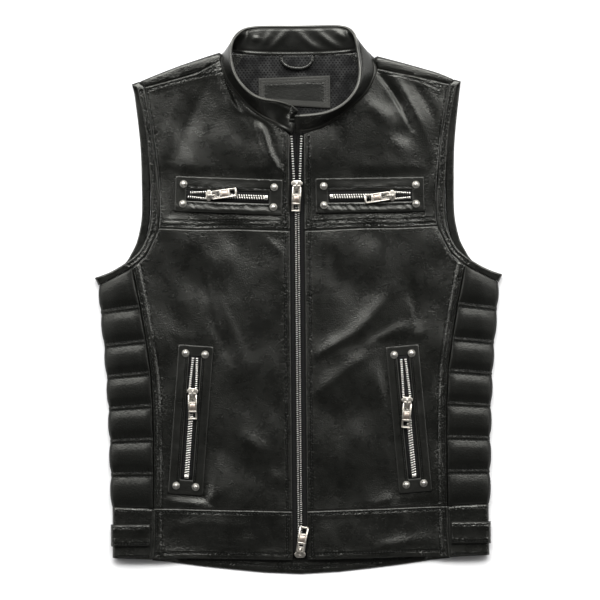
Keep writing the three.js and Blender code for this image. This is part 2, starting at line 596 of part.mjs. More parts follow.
// One closed loop a side: up the front, over the shoulder tip, down the back, round the underarm.
const ARM_PROUD = 0.3;      // band's top over the panel beside it
const ARM_TIP = {           // free edge at the shoulder's end and on its fold
  right: { end: [205.6, 272.2], fold: [211.4, 276.8] },
  left: { end: [205.6, 272.2], fold: [209.8, 276.8] },
};
const UNDERARM_DIP = 2.2;   // free edge's bow between the fold and the side seam
for (const sign of [-1, 1]) {
  const side = sign < 0 ? 'right' : 'left';
  const tip = SHOULDER[side][0];
  const stations = [];
  const run = (rows, z, up) => rows.forEach((r) => stations.push({
    seam: [r.seamX, r.seamY], edge: [r.edgeX, r.edgeY], z: z(r), dir: [0, 0, up],
  }));
  const turn = (front, fold, back, highZ, lowZ, from, to) => {
    const steps = 5;
    for (let k = 1; k < steps; k += 1) {
      const a = Math.PI * lerp(from, to, k / steps);
      const mix = (p, q, r) => [0, 1].map((i) => lerp(lerp(p[i], r[i], (1 - Math.cos(a)) / 2), q[i], Math.sin(a)));
      const dx = fold.seam[0] - front.seam[0];
      const dy = fold.seam[1] - front.seam[1];
      const size = Math.hypot(dx, dy);
      stations.push({
        seam: mix(front.seam, fold.seam, back.seam), edge: mix(front.edge, fold.edge, back.edge),
        z: (highZ + lowZ) / 2 + (highZ - lowZ) / 2 * Math.cos(a),
        dir: [dx / size * Math.sin(a), dy / size * Math.sin(a), Math.cos(a)],
      });
    }
  };
  const pair = (r) => ({ seam: [r.seamX, r.seamY], edge: [r.edgeX, r.edgeY] });
  const low = BINDING / 2;
  const highAt = (r) => frontTop(sign * r.seamX, r.seamY) + ARM_PROUD - BINDING / 2;
  const upFront = refine(ARM_FRONT, 2);
  const downBack = refine(ARM_BACK, 2);
  // Underarm, front run from the fold inwards to the side seam.
  const fold = pair(UNDERARM);
  const frontStart = upFront[0];
  const between = (t) => ({
    seamX: lerp(UNDERARM.seamX, frontStart.seamX, t), seamY: lerp(UNDERARM.seamY, frontStart.seamY, t),
    edgeX: lerp(UNDERARM.edgeX, frontStart.edgeX, t), edgeY: lerp(UNDERARM.edgeY, frontStart.edgeY, t)
      - UNDERARM_DIP * Math.sin(Math.PI * t),
  });
  const underRows = [0.14, 0.36, 0.58, 0.8].map(between);
  run(underRows, highAt, 1);
  run(upFront, highAt, 1);
  const shoulderEnd = { seam: [tip.seamX + 1.2, tip.seamY], edge: ARM_TIP[side].end };
  stations.push({ ...shoulderEnd, z: highAt(tip), dir: [0, 0, 1] });
  const tipFold = { seam: [tip.foldX + 1.0, tip.foldY - 0.9], edge: ARM_TIP[side].fold };
  turn(shoulderEnd, tipFold, pair(downBack[0]), highAt(tip), low, 0, 1);
  run(downBack, () => low, -1);
  run([...underRows].reverse(), () => low, -1);
  turn(pair(underRows[0]), fold, pair(underRows[0]), highAt(underRows[0]), low, 1, 0);
  const outer = [];
  const inner = [];
  for (const st of stations) {
    const wx = st.edge[0] - st.seam[0];
    const wy = st.edge[1] - st.seam[1];
    const gap = SEAM_GAP / 2 / Math.hypot(wx, wy);
    const place = (t, shift) => {
      const s = lerp(gap * 1.6, 1, t);
      return [sign * (st.seam[0] + wx * s + st.dir[0] * shift),
        st.seam[1] + wy * s + st.dir[1] * shift, st.z + st.dir[2] * shift];
    };
    outer.push([0, 0.5, 1].map((t) => place(t, BINDING / 2)));
    inner.push([0, 0.5, 1].map((t) => place(t, -BINDING / 2)));
  }
  add(`${side}_armhole`, wall(outer, inner, { wrap: true }), SOFT_BLACK);
}

// ---------- collar ----------

// Band collar: lies open at the back, stands at the sides and the front.
const collarRows = [
  ...COLLAR.right.map((r) => ({ ...r, seamX: -r.seamX, topX: -r.topX })),
  COLLAR.middle,
  ...[...COLLAR.left].reverse(),
];
const COLLAR_LIFT = 1.5;    // lower edge's middle above the panel it rests on
const COLLAR_BOW = 0.6;     // outward bow halfway up
const LYING_RISE = 1.6;     // top edge over the seam where the collar lies flat
const LYING_BASE = 2;       // seams lower than this belong to the lying part
const collarMid = refine(collarRows.map((r) => {
  const seamZ = r.base === 'front' ? frontTop(r.seamX, r.seamY) + COLLAR_LIFT : r.base;
  const run = Math.hypot(r.topX - r.seamX, r.topY - r.seamY);
  const rise = Math.sqrt(Math.max(0, COLLAR_WIDTH ** 2 - run ** 2));
  return {
    seamX: r.seamX, seamY: r.seamY, seamZ, topX: r.topX, topY: r.topY,
    topZ: seamZ + (r.base === 'front' || r.base > LYING_BASE ? rise : LYING_RISE),
  };
}), 1).map((r) => [0, 0.25, 0.5, 0.75, 1].map((t) => {
  const bow = 4 * t * (1 - t);
  return new THREE.Vector3(
    lerp(r.seamX, r.topX, t), lerp(r.seamY, r.topY, t), lerp(r.seamZ, r.topZ, t) + bow * COLLAR_BOW);
}));
const collarNormals = collarMid.map((row, i) => row.map((p, j) => {
  const before = collarMid[Math.max(0, i - 1)][j];
  const after = collarMid[Math.min(collarMid.length - 1, i + 1)][j];
  const down = row[Math.max(0, j - 1)];
  const up = row[Math.min(row.length - 1, j + 1)];
  return after.clone().sub(before).cross(up.clone().sub(down)).normalize();
}));
const collarFace = (shift) => collarMid.map((row, i) => row.map((p, j) => {
  const q = p.clone().addScaledVector(collarNormals[i][j], shift);
  return [q.x, q.y, q.z];
}));
add('collar', wall(collarFace(-COLLAR_WALL / 2), collarFace(COLLAR_WALL / 2)), SOFT_BLACK);

// ---------- neck: lining, label, hanger loop ----------

const LINING_HEIGHT = 3.8;  // lining's top over the table, between its soft waves
const LINING_BOTTOM = 206;
const liningTop = (x, y) => LINING_HEIGHT + 0.55 * Math.sin(x / 17 + y / 31) * Math.sin(y / 23 + 0.6)
  + 0.3 * Math.sin(x / 9 - y / 15);
const LINING_EDGE = [[0, 311.6], [24, 311.8], [48, 312.5], [66, 313.2], [80, 309], [88, 300], [89, 280], [88, 255], [82, 232]];
const liningRows = [];
for (let i = 0; i <= 9; i += 1) {
  const rightEdge = along(LINING_EDGE.slice(3), 9)[9 - i];
  const topLine = along(LINING_EDGE.slice(0, 4), 9);
  const row = [];
  for (let j = 0; j <= 12; j += 1) {
    const u = j / 6 - 1;
    const x = rightEdge[0] * u;
    const crown = topLine[Math.min(9, Math.round(Math.abs(u) * 9))][1];
    row.push([x, lerp(LINING_BOTTOM, crown - (i < 9 ? 0 : SEAM_GAP / 2), i / 9)]);
  }
  liningRows.push(row);
}
const liftGrid = (grid, f) => grid.map((row) => row.map(([x, y]) => [x, y, f(x, y)]));
add('neck_lining', wall(liftGrid(liningRows, liningTop), liftGrid(liningRows, (x, y) => liningTop(x, y) - LINING)), MESH_GREY);

const LABEL = { left: -49.2, right: 42.6, topLeft: 283.4, topRight: 286.2, bottomLeft: 256.5, bottomRight: 250.2 };
const labelRows = [];
for (let i = 0; i <= 4; i += 1) {
  const row = [];
  for (let j = 0; j <= 10; j += 1) {
    const u = j / 10;
    const v = i / 4;
    row.push([lerp(LABEL.left, LABEL.right, u), lerp(lerp(LABEL.bottomLeft, LABEL.bottomRight, u),
      lerp(LABEL.topLeft, LABEL.topRight, u), v)]);
  }
  labelRows.push(row);
}
const LABEL_GAP = 0.55;     // label's underside over the lining
const labelLift = (x, y) => liningTop(x, y) + LABEL_GAP;
add('label', wall(liftGrid(labelRows, (x, y) => labelLift(x, y) + LABEL_WALL), liftGrid(labelRows, labelLift)), SOFT_BLACK);

// Hanger loop: a cord whose two ends are caught in the back neck seam.
const LOOP = [[-19.9, 311.6], [-18.0, 303.4], [-10.6, 298.0], [0.6, 295.9], [11.6, 297.4], [18.6, 303.2], [21.2, 311.4]];
const loopPath = new THREE.CatmullRomCurve3(LOOP.map(([x, y]) => new THREE.Vector3(x, y, LOOP_HEIGHT + LOOP_RADIUS)));
const loopRings = [];
for (let i = 0; i <= 20; i += 1) {
  const p = loopPath.getPointAt(i / 20);
  const t = loopPath.getTangentAt(i / 20);
  const out = new THREE.Vector3(t.y, -t.x, 0).normalize();
  const ring = [];
  for (let k = 0; k < 8; k += 1) {
    const a = 2 * Math.PI * k / 8;
    ring.push([p.x + out.x * Math.cos(a) * LOOP_RADIUS, p.y + out.y * Math.cos(a) * LOOP_RADIUS,
      p.z + Math.sin(a) * LOOP_RADIUS]);
  }
  loopRings.push(ring);
}

// A body through closed rings, its two ends capped with a fan.
function rod(rings) {
  const size = rings[0].length;
  const positions = rings.flat(2);
  const index = [];
  for (let i = 0; i < rings.length - 1; i += 1) {
    for (let k = 0; k < size; k += 1) {
      const a = i * size + k;
      const b = i * size + (k + 1) % size;
      index.push(a, b, b + size, a, b + size, a + size);
    }
  }
  const last = (rings.length - 1) * size;
  for (let k = 1; k < size - 1; k += 1) {
    index.push(0, k + 1, k, last, last + k, last + k + 1);
  }
  return closedBody(positions, index);
}
add('hanger_loop', rod(loopRings), SOFT_BLACK);

// ---------- main zip ----------

const TAPE_DROP = PANEL + LAY_GAP;            // tape's top under the panel's top
const TAPE_WIDTH = 14;      // one tape, from the zip line outwards
const TAPE_SPLIT = 0.2;     // each tape's edge to the zip line
const CHAIN_SEAT = 0.35;    // chain's underside over the tape
const STRAND = { narrow: 2.6, wide: 5.2, width: 2.5, sunk: 0.3 };   // open teeth beside the zip line
const MAIN = { top: 209, sliderTop: 152.4, sliderBottom: 137.9, chainEnd: -315.7 };
const zipTop = (y) => frontTop(ZIP_X, y) - TAPE_DROP;
const stripRing = (x0, x1, y, z0, z1) => [[x0, y, z0], [x1, y, z0], [x1, y, z1], [x0, y, z1]];
const strip = (ys, x0, x1, z0, z1) => rod(ys.map((y) => stripRing(x0(y), x1(y), y, z0(y), z1(y))).reverse());
const spread = (from, to, count) => Array.from({ length: count + 1 }, (_, k) => lerp(from, to, k / count));
const tapeRows = spread(HEM_Y + 1.5, 212, 24);
for (const sign of [-1, 1]) {
  const side = sign < 0 ? 'right' : 'left';
  const reachX = [ZIP_X + sign * TAPE_SPLIT, ZIP_X + sign * TAPE_WIDTH];
  const [x0, x1] = sign < 0 ? [reachX[1], reachX[0]] : reachX;
  const tape = strip(tapeRows, () => x0, () => x1, (y) => zipTop(y) - TAPE, (y) => zipTop(y));
  const openRows = spread(MAIN.sliderTop + 1.2, MAIN.top, 5);
  const openPart = (y) => (y - MAIN.sliderTop) / (MAIN.top - MAIN.sliderTop);
  const near = (y) => ZIP_X + sign * lerp(STRAND.narrow, STRAND.wide, openPart(y));
  const far = (y) => near(y) + sign * STRAND.width;
  const strand = strip(openRows, sign < 0 ? far : near, sign < 0 ? near : far,
    (y) => zipTop(y) - STRAND.sunk, (y) => zipTop(y) + CHAIN_HEIGHT);
  add(`${side}_zip_tape`, fuse(tape, strand), TAPE_BLACK);
}
add('zip_chain', strip(spread(MAIN.chainEnd, MAIN.sliderBottom - 0.4, 22), () => ZIP_X - CHAIN_WIDTH / 2,
  () => ZIP_X + CHAIN_WIDTH / 2, (y) => zipTop(y) + CHAIN_SEAT, (y) => zipTop(y) + CHAIN_SEAT + CHAIN_HEIGHT), NICKEL);

// ---------- sliders and pulls ----------

const SLIDER = { length: 14, crown: 14.2, tail: 8.8, height: 3.4, shoulder: 5.4, round: 2.6 };
const PIVOT_RISE = 1.7;     // pull's pivot above the slider's body
const BRIDGE = { width: 2.4, inside: 3.0, leg: 1.6, under: 1.25, top: 2.6 };
const PULL = { width: 11.4, length: 33, wall: 1.4, bar: 0.8, window: 9.6, neck: 2.6, corner: 2.2 };
const PULL_SLOT = { from: 8.6, to: 2.4, half: 3.4 };      // slot near the pull's end

// Slider in its own frame: chain along y, closed chain towards -y, pivot at the origin.
function sliderGeometry() {
  const w = SLIDER.crown / 2;
  const t = SLIDER.tail / 2;
  const l = SLIDER.length / 2;
  const shape = new THREE.Shape([
    [-t + 1, -l], [t - 1, -l], [t, -l + 1], [t, -0.5], [w, l - SLIDER.shoulder], [w, l - SLIDER.round],
    [w - SLIDER.round, l], [-w + SLIDER.round, l], [-w, l - SLIDER.round], [-w, l - SLIDER.shoulder],
    [-t, -0.5], [-t, -l + 1],
  ].map(([x, y]) => new THREE.Vector2(x, y)));
  const body = new THREE.ExtrudeGeometry(shape, {
    depth: SLIDER.height - 0.8, bevelEnabled: true, bevelThickness: 0.4, bevelSize: 0.4, bevelOffset: -0.4, bevelSegments: 1,
  });
  body.translate(0, 0, -PIVOT_RISE - SLIDER.height + 0.4);
  const reach = BRIDGE.inside + BRIDGE.leg;
  const arch = new THREE.Shape([
    [-reach, -PIVOT_RISE - 0.4], [-BRIDGE.inside, -PIVOT_RISE - 0.4], [-BRIDGE.inside, BRIDGE.under - 0.5],
    [-BRIDGE.inside + 0.6, BRIDGE.under], [BRIDGE.inside - 0.6, BRIDGE.under],
    [BRIDGE.inside, BRIDGE.under - 0.5], [BRIDGE.inside, -PIVOT_RISE - 0.4], [reach, -PIVOT_RISE - 0.4],
    [reach, BRIDGE.top - 1.2], [reach - 1.2, BRIDGE.top], [-reach + 1.2, BRIDGE.top], [-reach, BRIDGE.top - 1.2],
  ].map(([y, z]) => new THREE.Vector2(y, z)));
  const bridge = new THREE.ExtrudeGeometry(arch, { depth: BRIDGE.width, bevelEnabled: false });
  bridge.applyMatrix4(new THREE.Matrix4().makeBasis(
    new THREE.Vector3(0, 1, 0), new THREE.Vector3(0, 0, 1), new THREE.Vector3(1, 0, 0)));
  bridge.translate(-BRIDGE.width / 2, 0, 0);
  return fuse(body, bridge);
}

// Pull in its own frame: hangs towards -y from the pivot bar at the origin.
function pullGeometry() {
  const w = PULL.width / 2;
  const end = -PULL.length;
  const c = PULL.corner;
  const shape = new THREE.Shape();
  shape.moveTo(-w + 1.6, PULL.bar);
  shape.lineTo(w - 1.6, PULL.bar);
  shape.lineTo(w - 0.4, PULL.bar - 1.4);
  shape.lineTo(w, end + c);
  shape.quadraticCurveTo(w, end, w - c, end);
  shape.lineTo(-w + c, end);
  shape.quadraticCurveTo(-w, end, -w, end + c);
  shape.lineTo(-w + 0.4, PULL.bar - 1.4);
  const hole = (x, from, to) => new THREE.Path([[-x, from], [-x, to], [x, to], [x, from]]
    .map(([px, py]) => new THREE.Vector2(px, py)));
  shape.holes.push(hole(PULL.neck, -PULL.bar, -PULL.window), hole(PULL_SLOT.half, end + PULL_SLOT.from, end + PULL_SLOT.to));
  const plate = new THREE.ExtrudeGeometry(shape, { depth: PULL.wall, bevelEnabled: false, curveSegments: 3 });
  plate.translate(0, 0, -PULL.wall / 2);
  return plate;
}

// turn sets the chain's direction, yaw the pull's swing on the bar, tilt its droop.
function zipPull(name, x, y, seatZ, turn, yaw, tilt) {
  const place = new THREE.Group();
  place.name = `${name}_place`;
  place.position.set(x, y, seatZ + SLIDER.height + PIVOT_RISE);
  place.rotation.z = rad(turn);
  group.add(place);
  add(`${name}_slider`, sliderGeometry(), NICKEL, place);
  const swing = new THREE.Group();
  swing.name = `${name}_swing`;
  swing.rotation.z = rad(yaw);
  place.add(swing);
  const pull = add(`${name}_pull`, pullGeometry(), NICKEL, swing);
  pull.rotation.x = rad(tilt);
}
const seatAt = (y) => zipTop(y) + CHAIN_SEAT;
zipPull('top', ZIP_X, 145.2, seatAt(153.5), 0, -3, 4.5);
zipPull('bottom', ZIP_X, -323.6, seatAt(-323.6), 180, -10, 2.8);

// ---------- pockets ----------

const PATCH = 1.5;
const LIP = 1.1;
const WINDOW = 15.6;        // width of the opening round the zip
const POCKET_TAPE = 0.8;
const TAPE_MARGIN = 0.5;
const OPENING_END = 3.5;    // opening beyond the zip's stop and open end
const POCKET_CHAIN = { half: 2.6, height: 2.0, sunk: 0.3, strand: 2.0, strandDrop: 0.4, atSlider: 3.2, atEnd: 1.7 };
const STUD_IN = { length: 10.5, width: 9.8, sink: 0.45 };   // stud's middle inside the patch's edges
for (const [name, p] of Object.entries(POCKETS)) {
  const c = Math.cos(rad(p.turn));
  const s = Math.sin(rad(p.turn));
  const world = (u, v) => [p.x + u * c - v * s, p.y + u * s + v * c];
  const ends = [Math.min(p.stop, p.open), Math.max(p.stop, p.open)];
  const opening = { from: ends[0] - OPENING_END, to: ends[1] + OPENING_END, low: p.zip - WINDOW / 2, high: p.zip + WINDOW / 2 };
  // Rings of the patch from its edge to the opening.
  const longSteps = 9;
  const shortSteps = 3;
  const ringAt = (t) => {
    const box = {
      u0: lerp(-p.length / 2, opening.from, t), u1: lerp(p.length / 2, opening.to, t),
      v0: lerp(-p.width / 2, opening.low, t), v1: lerp(p.width / 2, opening.high, t),
    };
    const ring = [];
    for (let k = 0; k < longSteps; k += 1) ring.push([lerp(box.u0, box.u1, k / longSteps), box.v0]);
    for (let k = 0; k < shortSteps; k += 1) ring.push([box.u1, lerp(box.v0, box.v1, k / shortSteps)]);
    for (let k = 0; k < longSteps; k += 1) ring.push([lerp(box.u1, box.u0, k / longSteps), box.v1]);
    for (let k = 0; k < shortSteps; k += 1) ring.push([box.u0, lerp(box.v1, box.v0, k / shortSteps)]);
    return ring;
  };
  const profile = [[0, 0], [0.5, 0.1], [0.78, 1], [1, 0.55]];
  const top = profile.map(([t, lip]) => ringAt(t).map(([u, v]) => {
    const [x, y] = world(u, v);
    const inside = smooth(0, 14, Math.min(opening.to - u, u - opening.from));
    return [x, y, frontTop(x, y) + LAY_GAP + PATCH + lip * LIP * inside];
  }));
  const bottom = profile.map(([t]) => ringAt(t).map(([u, v]) => {
    const [x, y] = world(u, v);
    return [x, y, frontTop(x, y) + LAY_GAP];
  }));
  add(`${name}_patch`, wall(top, bottom, { ring: true }), BLACK);

  // Zip in the opening: tape with the closed chain, the open strands and the stop on it.
  const lift = (u, v) => {
    const [x, y] = world(u, v);
    return frontTop(x, y) + LAY_GAP;
  };
  const bar = (from, to, count, v0, v1, z0, z1) => rod(spread(from, to, count).map((u) => {
    const at = (v, z) => [...world(u, v(u)), lift(u, p.zip) + z];
    return [at(v0, z0), at(v1, z0), at(v1, z1), at(v0, z1)];
  }));
  const flat = (value) => () => value;
  const chainZ = POCKET_TAPE + POCKET_CHAIN.height;
  const tape = bar(opening.from + TAPE_MARGIN, opening.to - TAPE_MARGIN, 10,
    flat(opening.low + TAPE_MARGIN), flat(opening.high - TAPE_MARGIN), 0, POCKET_TAPE);
  const toward = Math.sign(p.stop - p.open);
  const closed = [p.slider + toward * (SLIDER.length / 2 + 0.5), p.stop];
  const chain = bar(Math.min(...closed), Math.max(...closed), 6,
    flat(p.zip - POCKET_CHAIN.half), flat(p.zip + POCKET_CHAIN.half), POCKET_TAPE - POCKET_CHAIN.sunk, chainZ);
  const open = [p.open, p.slider - toward * (SLIDER.length / 2 + 0.5)];
  const fan = (u) => lerp(POCKET_CHAIN.atSlider, POCKET_CHAIN.atEnd, Math.abs((u - open[1]) / (open[0] - open[1])));
  const strands = [-1, 1].map((k) => {
    const near = (u) => p.zip + k * fan(u);
    const far = (u) => p.zip + k * (fan(u) + POCKET_CHAIN.strand);
    return bar(Math.min(...open), Math.max(...open), 2, k < 0 ? far : near, k < 0 ? near : far,
      POCKET_TAPE - POCKET_CHAIN.sunk, chainZ - POCKET_CHAIN.strandDrop);
  });
  add(`${name}_zip`, fuse(tape, chain, ...strands), NICKEL);

  const [sx, sy] = world(p.slider, p.zip);
  zipPull(name, sx, sy, lift(p.slider, p.zip) + POCKET_TAPE + 0.3, p.turn + (toward > 0 ? 90 : -90), p.pull, 2.5);

  // Studs at the four corners.
  const names = ['a', 'b', 'c', 'd'];
  const inU = p.length / 2 - STUD_IN.length;
  const inV = p.width / 2 - STUD_IN.width;
  [[-inU, -inV], [inU, -inV], [inU, inV], [-inU, inV]].forEach(([u, v], k) => {
    const [x, y] = world(u, v);
    let seat = 0;
    for (let a = 0; a < 8; a += 1) {
      const aroundX = x + STUD_BASE * Math.cos(a * Math.PI / 4);
      const aroundY = y + STUD_BASE * Math.sin(a * Math.PI / 4);
      seat = Math.max(seat, frontTop(aroundX, aroundY));
    }
    const stud = new THREE.LatheGeometry([
      [0, 0], [STUD_BASE, 0], [STUD_BASE, 0.7], [STUD_BASE * 0.62, STUD_HEIGHT * 0.72], [0, STUD_HEIGHT],
    ].map(([r, z]) => new THREE.Vector2(r, z)), 8);
    const mesh = add(`${name}_stud_${names[k]}`, stud, NICKEL);
    mesh.rotation.x = Math.PI / 2;
    mesh.position.set(x, y, seat + LAY_GAP + PATCH + STUD_IN.sink);
  });
}

group.position.set(0, GROUP_SHIFT_Y, 0);
export default group;
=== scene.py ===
import json
import math

import bmesh
import bpy
import numpy as np
from mathutils import Matrix, Vector, noise
from mathutils.bvhtree import BVHTree
from mathutils.kdtree import KDTree


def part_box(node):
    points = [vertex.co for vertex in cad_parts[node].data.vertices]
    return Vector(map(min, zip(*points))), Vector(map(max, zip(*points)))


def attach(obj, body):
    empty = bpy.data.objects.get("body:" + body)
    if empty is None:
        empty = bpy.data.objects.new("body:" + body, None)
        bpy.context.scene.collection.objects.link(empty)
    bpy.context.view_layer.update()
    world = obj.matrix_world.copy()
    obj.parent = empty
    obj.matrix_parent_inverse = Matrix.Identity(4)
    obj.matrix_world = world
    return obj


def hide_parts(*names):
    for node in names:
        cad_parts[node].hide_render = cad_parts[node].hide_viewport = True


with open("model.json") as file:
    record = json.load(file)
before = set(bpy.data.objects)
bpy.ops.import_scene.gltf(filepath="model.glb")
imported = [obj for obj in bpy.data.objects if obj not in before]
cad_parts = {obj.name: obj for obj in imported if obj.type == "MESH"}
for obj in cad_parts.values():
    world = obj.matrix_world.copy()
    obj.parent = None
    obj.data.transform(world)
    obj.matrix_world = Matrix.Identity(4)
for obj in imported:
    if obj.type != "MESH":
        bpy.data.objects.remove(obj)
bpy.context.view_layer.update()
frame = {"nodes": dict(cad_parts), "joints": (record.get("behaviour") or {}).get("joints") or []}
nodes = frame["nodes"]
scene = bpy.context.scene
scene.view_settings.view_transform = "Standard"
MM = 0.001

# Camera: straight above the vest as it lies, turned half a degree as in the photo.
camera = bpy.data.objects.new("camera", bpy.data.cameras.new("camera"))
camera.location = (1.53 * MM, -0.5 * MM, 4.008)
camera.rotation_euler = (0, 0, math.radians(-0.5))
camera.data.lens = 187.5
camera.data.sensor_width = 36
scene.collection.objects.link(camera)
scene.camera = camera

# Hanger loop: a rolled leather cord, its two ends sewn into the neck seam.
LOOP_POINTS = (
    (-19.9, 311.6), (-18, 303.4), (-10.6, 298), (0.6, 295.9), (11.6, 297.4), (18.6, 303.2), (21.2, 311.4),
)
LOOP_RADIUS = 2.2
LOOP_HEIGHT = 7.2  # middle of the roll over the table
SHIFT_Y = 0.4  # from the tables' y to the frame's
line = bpy.data.curves.new("hanger_cord", "CURVE")
line.dimensions = "3D"
spline = line.splines.new("BEZIER")
spline.bezier_points.add(len(LOOP_POINTS) - 1)
for point, (x, y) in zip(spline.bezier_points, LOOP_POINTS):
    point.co = (x * MM, (y + SHIFT_Y) * MM, LOOP_HEIGHT * MM)
    point.handle_left_type = point.handle_right_type = "AUTO"
swept = bpy.data.objects.new("hanger_sweep", line)
scene.collection.objects.link(swept)
middle_line = bpy.data.meshes.new_from_object(swept.evaluated_get(bpy.context.evaluated_depsgraph_get()))
line.bevel_depth = LOOP_RADIUS * MM
line.bevel_resolution = 5
line.use_fill_caps = True
tube = bpy.data.meshes.new_from_object(swept.evaluated_get(bpy.context.evaluated_depsgraph_get()))
bpy.data.objects.remove(swept)
hanger = bpy.data.objects.new("hanger_cord", tube)
scene.collection.objects.link(hanger)
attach(hanger, "vest")
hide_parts("hanger_loop")


# Materials. Small wrapper round a socket, so that shader maths reads as arithmetic.
class Field:
    """A value in a material's node tree."""

    def __init__(self, tree, socket=None):
        self.tree = tree
        self.socket = socket

    def node(self, kind, settings=None, values=None, out=0):
        """A new node: its settings, then what its sockets hold or are linked to."""
        made = self.tree.nodes.new(kind)
        for key, value in (settings or {}).items():
            setattr(made, key, value)
        for key, value in (values or {}).items():
            if isinstance(value, Field):
                self.tree.links.new(value.socket, made.inputs[key])
            else:
                made.inputs[key].default_value = value
        return Field(self.tree, made.outputs[out])

    def maths(self, operation, first, second=0.0, third=0.0):
        values = {0: first, 1: second, 2: third}
        return self.node("ShaderNodeMath", {"operation": operation}, values)

    def __add__(self, other):
        return self.maths("ADD", self, other)

    def __radd__(self, other):
        return self.maths("ADD", other, self)

    def __sub__(self, other):
        return self.maths("SUBTRACT", self, other)

    def __rsub__(self, other):
        return self.maths("SUBTRACT", other, self)

    def __mul__(self, other):
        return self.maths("MULTIPLY", self, other)

    def __rmul__(self, other):
        return self.maths("MULTIPLY", other, self)

    def size(self):
        return self.maths("ABSOLUTE", self)

    def ramp(self, low, high, start=0.0, end=1.0):
        """Smooth step of this value from low to high, giving start to end."""
        values = {"Value": self, "From Min": low, "From Max": high, "To Min": start, "To Max": end}
        return self.node("ShaderNodeMapRange", {"interpolation_type": "SMOOTHSTEP"}, values)


def place(field, stretch=(1, 1, 1), turn=0.0):
    """The object's own coordinates in metres, stretched and turned about Z."""
    at = field.node("ShaderNodeTexCoord", out="Object")
    values = {"Vector": at, "Scale": stretch, "Rotation": (0, 0, math.radians(turn))}
    return field.node("ShaderNodeMapping", None, values)


def speckle(field, at, scale, detail=3.0, rough=0.55, warp=0.0):
    values = {"Vector": at, "Scale": scale, "Detail": detail, "Roughness": rough, "Distortion": warp}
    return field.node("ShaderNodeTexNoise", None, values)


def attribute(field, name):
    """A value in mm kept in the mesh, such as how far a point lies from a seam."""
    return field.node("ShaderNodeAttribute", {"attribute_name": name}, out="Fac")


def start_material(name, tint, roughness, metallic=0.0):
    material = bpy.data.materials.new(name)
    material.use_nodes = True
    shader = material.node_tree.nodes["Principled BSDF"]
    shader.inputs["Base Color"].default_value = (*tint, 1)
    shader.inputs["Roughness"].default_value = roughness
    shader.inputs["Metallic"].default_value = metallic
    return material, shader, Field(material.node_tree)


def plug(field, shader, name, value):
    field.tree.links.new(value.socket, shader.inputs[name])


def tone(field, amount, dark, light):
    """A colour between dark and light."""
    values = {"Factor": amount, "A": (*dark, 1), "B": (*light, 1)}
    return field.node("ShaderNodeMix", {"data_type": "RGBA"}, values, out="Result")


def relief(field, height, depth, below=None):
    values = {"Height": height, "Distance": depth, "Strength": 1.0}
    if below is not None:
        values["Normal"] = below
    return field.node("ShaderNodeBump", None, values)


def leather(name, dark, light, gloss, grain, wrinkles, sewn, roll, puckered):
    """Black full grain leather: pebble grain, loose wrinkles, edges lightened in colour (part wear, part
    painted highlight) and sunk, puckered rows.

    grain, wrinkles, sewn, roll and puckered are heights in mm."""
    material, shader, f = start_material(name, dark, gloss)
    shader.inputs["Specular Tint"].default_value = (1.0, 1.0, 0.93, 1)
    shader.inputs["IOR"].default_value = 1.5
    here = place(f)
    blotch = speckle(f, here, 26, 4, 0.6)
    cloud = speckle(f, here, 95, 3, 0.6)
    pebble = f.node("ShaderNodeTexVoronoi", {"feature": "F1"}, {"Vector": here, "Scale": 640.0})
    fine = speckle(f, here, 900, 2, 0.6)
    long_way = place(f, (1, 0.42, 1), 24)
    crease_a = (speckle(f, long_way, 120, 4, 0.62, 0.6) - 0.5).size().ramp(0.0, 0.09)
    cross_way = place(f, (0.45, 1, 1), -18)
    crease_b = (speckle(f, cross_way, 165, 3, 0.6, 0.4) - 0.5).size().ramp(0.0, 0.07)
    rim = attribute(f, "rim")
    stitch = attribute(f, "stitch")
    # Painted highlight and wear: the base colour is lightened within about 2.6 mm of the rim, broken by a
    # fine speckle. It stands for rubbed edges and also for the light that rolled edges catch.
    worn_edge_highlight = rim.ramp(2.6, 0.2) * speckle(f, here, 420, 2, 0.5).ramp(0.3, 0.75)
    shade = blotch.ramp(0.3, 0.72) * 0.55 + cloud.ramp(0.3, 0.7) * 0.25 + worn_edge_highlight * 0.35
    plug(f, shader, "Base Color", tone(f, shade, dark, light))
    uneven = gloss + 0.19 * (blotch - 0.5) + 0.11 * (cloud - 0.5)
    uneven = uneven + 0.14 * rim.ramp(1.7, 0.4) - 0.12 * stitch.ramp(2.6, 0.9)
    plug(f, shader, "Roughness", uneven + 0.06 * (fine - 0.5))
    folds = crease_a * 0.6 + crease_b * 0.4
    near = stitch.ramp(9.0, 1.0)
    pucker = speckle(f, here, 330, 2, 0.5) * near
    groove = stitch.ramp(0.3, 3.0) * 0.6
    edge = rim.ramp(0.0, 1.9)
    low = relief(f, folds + speckle(f, here, 210, 3) * 0.8, wrinkles * MM)
    sewing = relief(f, groove * sewn + pucker * puckered + edge * roll, MM, low)
    top = relief(f, pebble * 0.7 + fine * 0.5, grain * MM, sewing)
    plug(f, shader, "Normal", top)
    return material


panel_leather = leather(
    "panel_leather", (0.0013, 0.0014, 0.0011), (0.0034, 0.0035, 0.0029), gloss=0.285,
    grain=0.29, wrinkles=0.06, sewn=0.4, roll=0.2, puckered=0.6,
)
quilt_leather = leather(
    "quilt_leather", (0.0012, 0.0013, 0.0011), (0.0030, 0.0031, 0.0026), gloss=0.38,
    grain=0.17, wrinkles=0.05, sewn=0.2, roll=0.1, puckered=0.5,
)
trim_leather = leather(
    "trim_leather", (0.0014, 0.0015, 0.0012), (0.0040, 0.0041, 0.0035), gloss=0.285,
    grain=0.14, wrinkles=0.06, sewn=0.6, roll=0.4, puckered=0.9,
)
patch_leather = leather(
    "patch_leather", (0.0014, 0.0015, 0.0012), (0.0036, 0.0037, 0.0031), gloss=0.31,
    grain=0.16, wrinkles=0.05, sewn=0.15, roll=0.12, puckered=0.3,
)

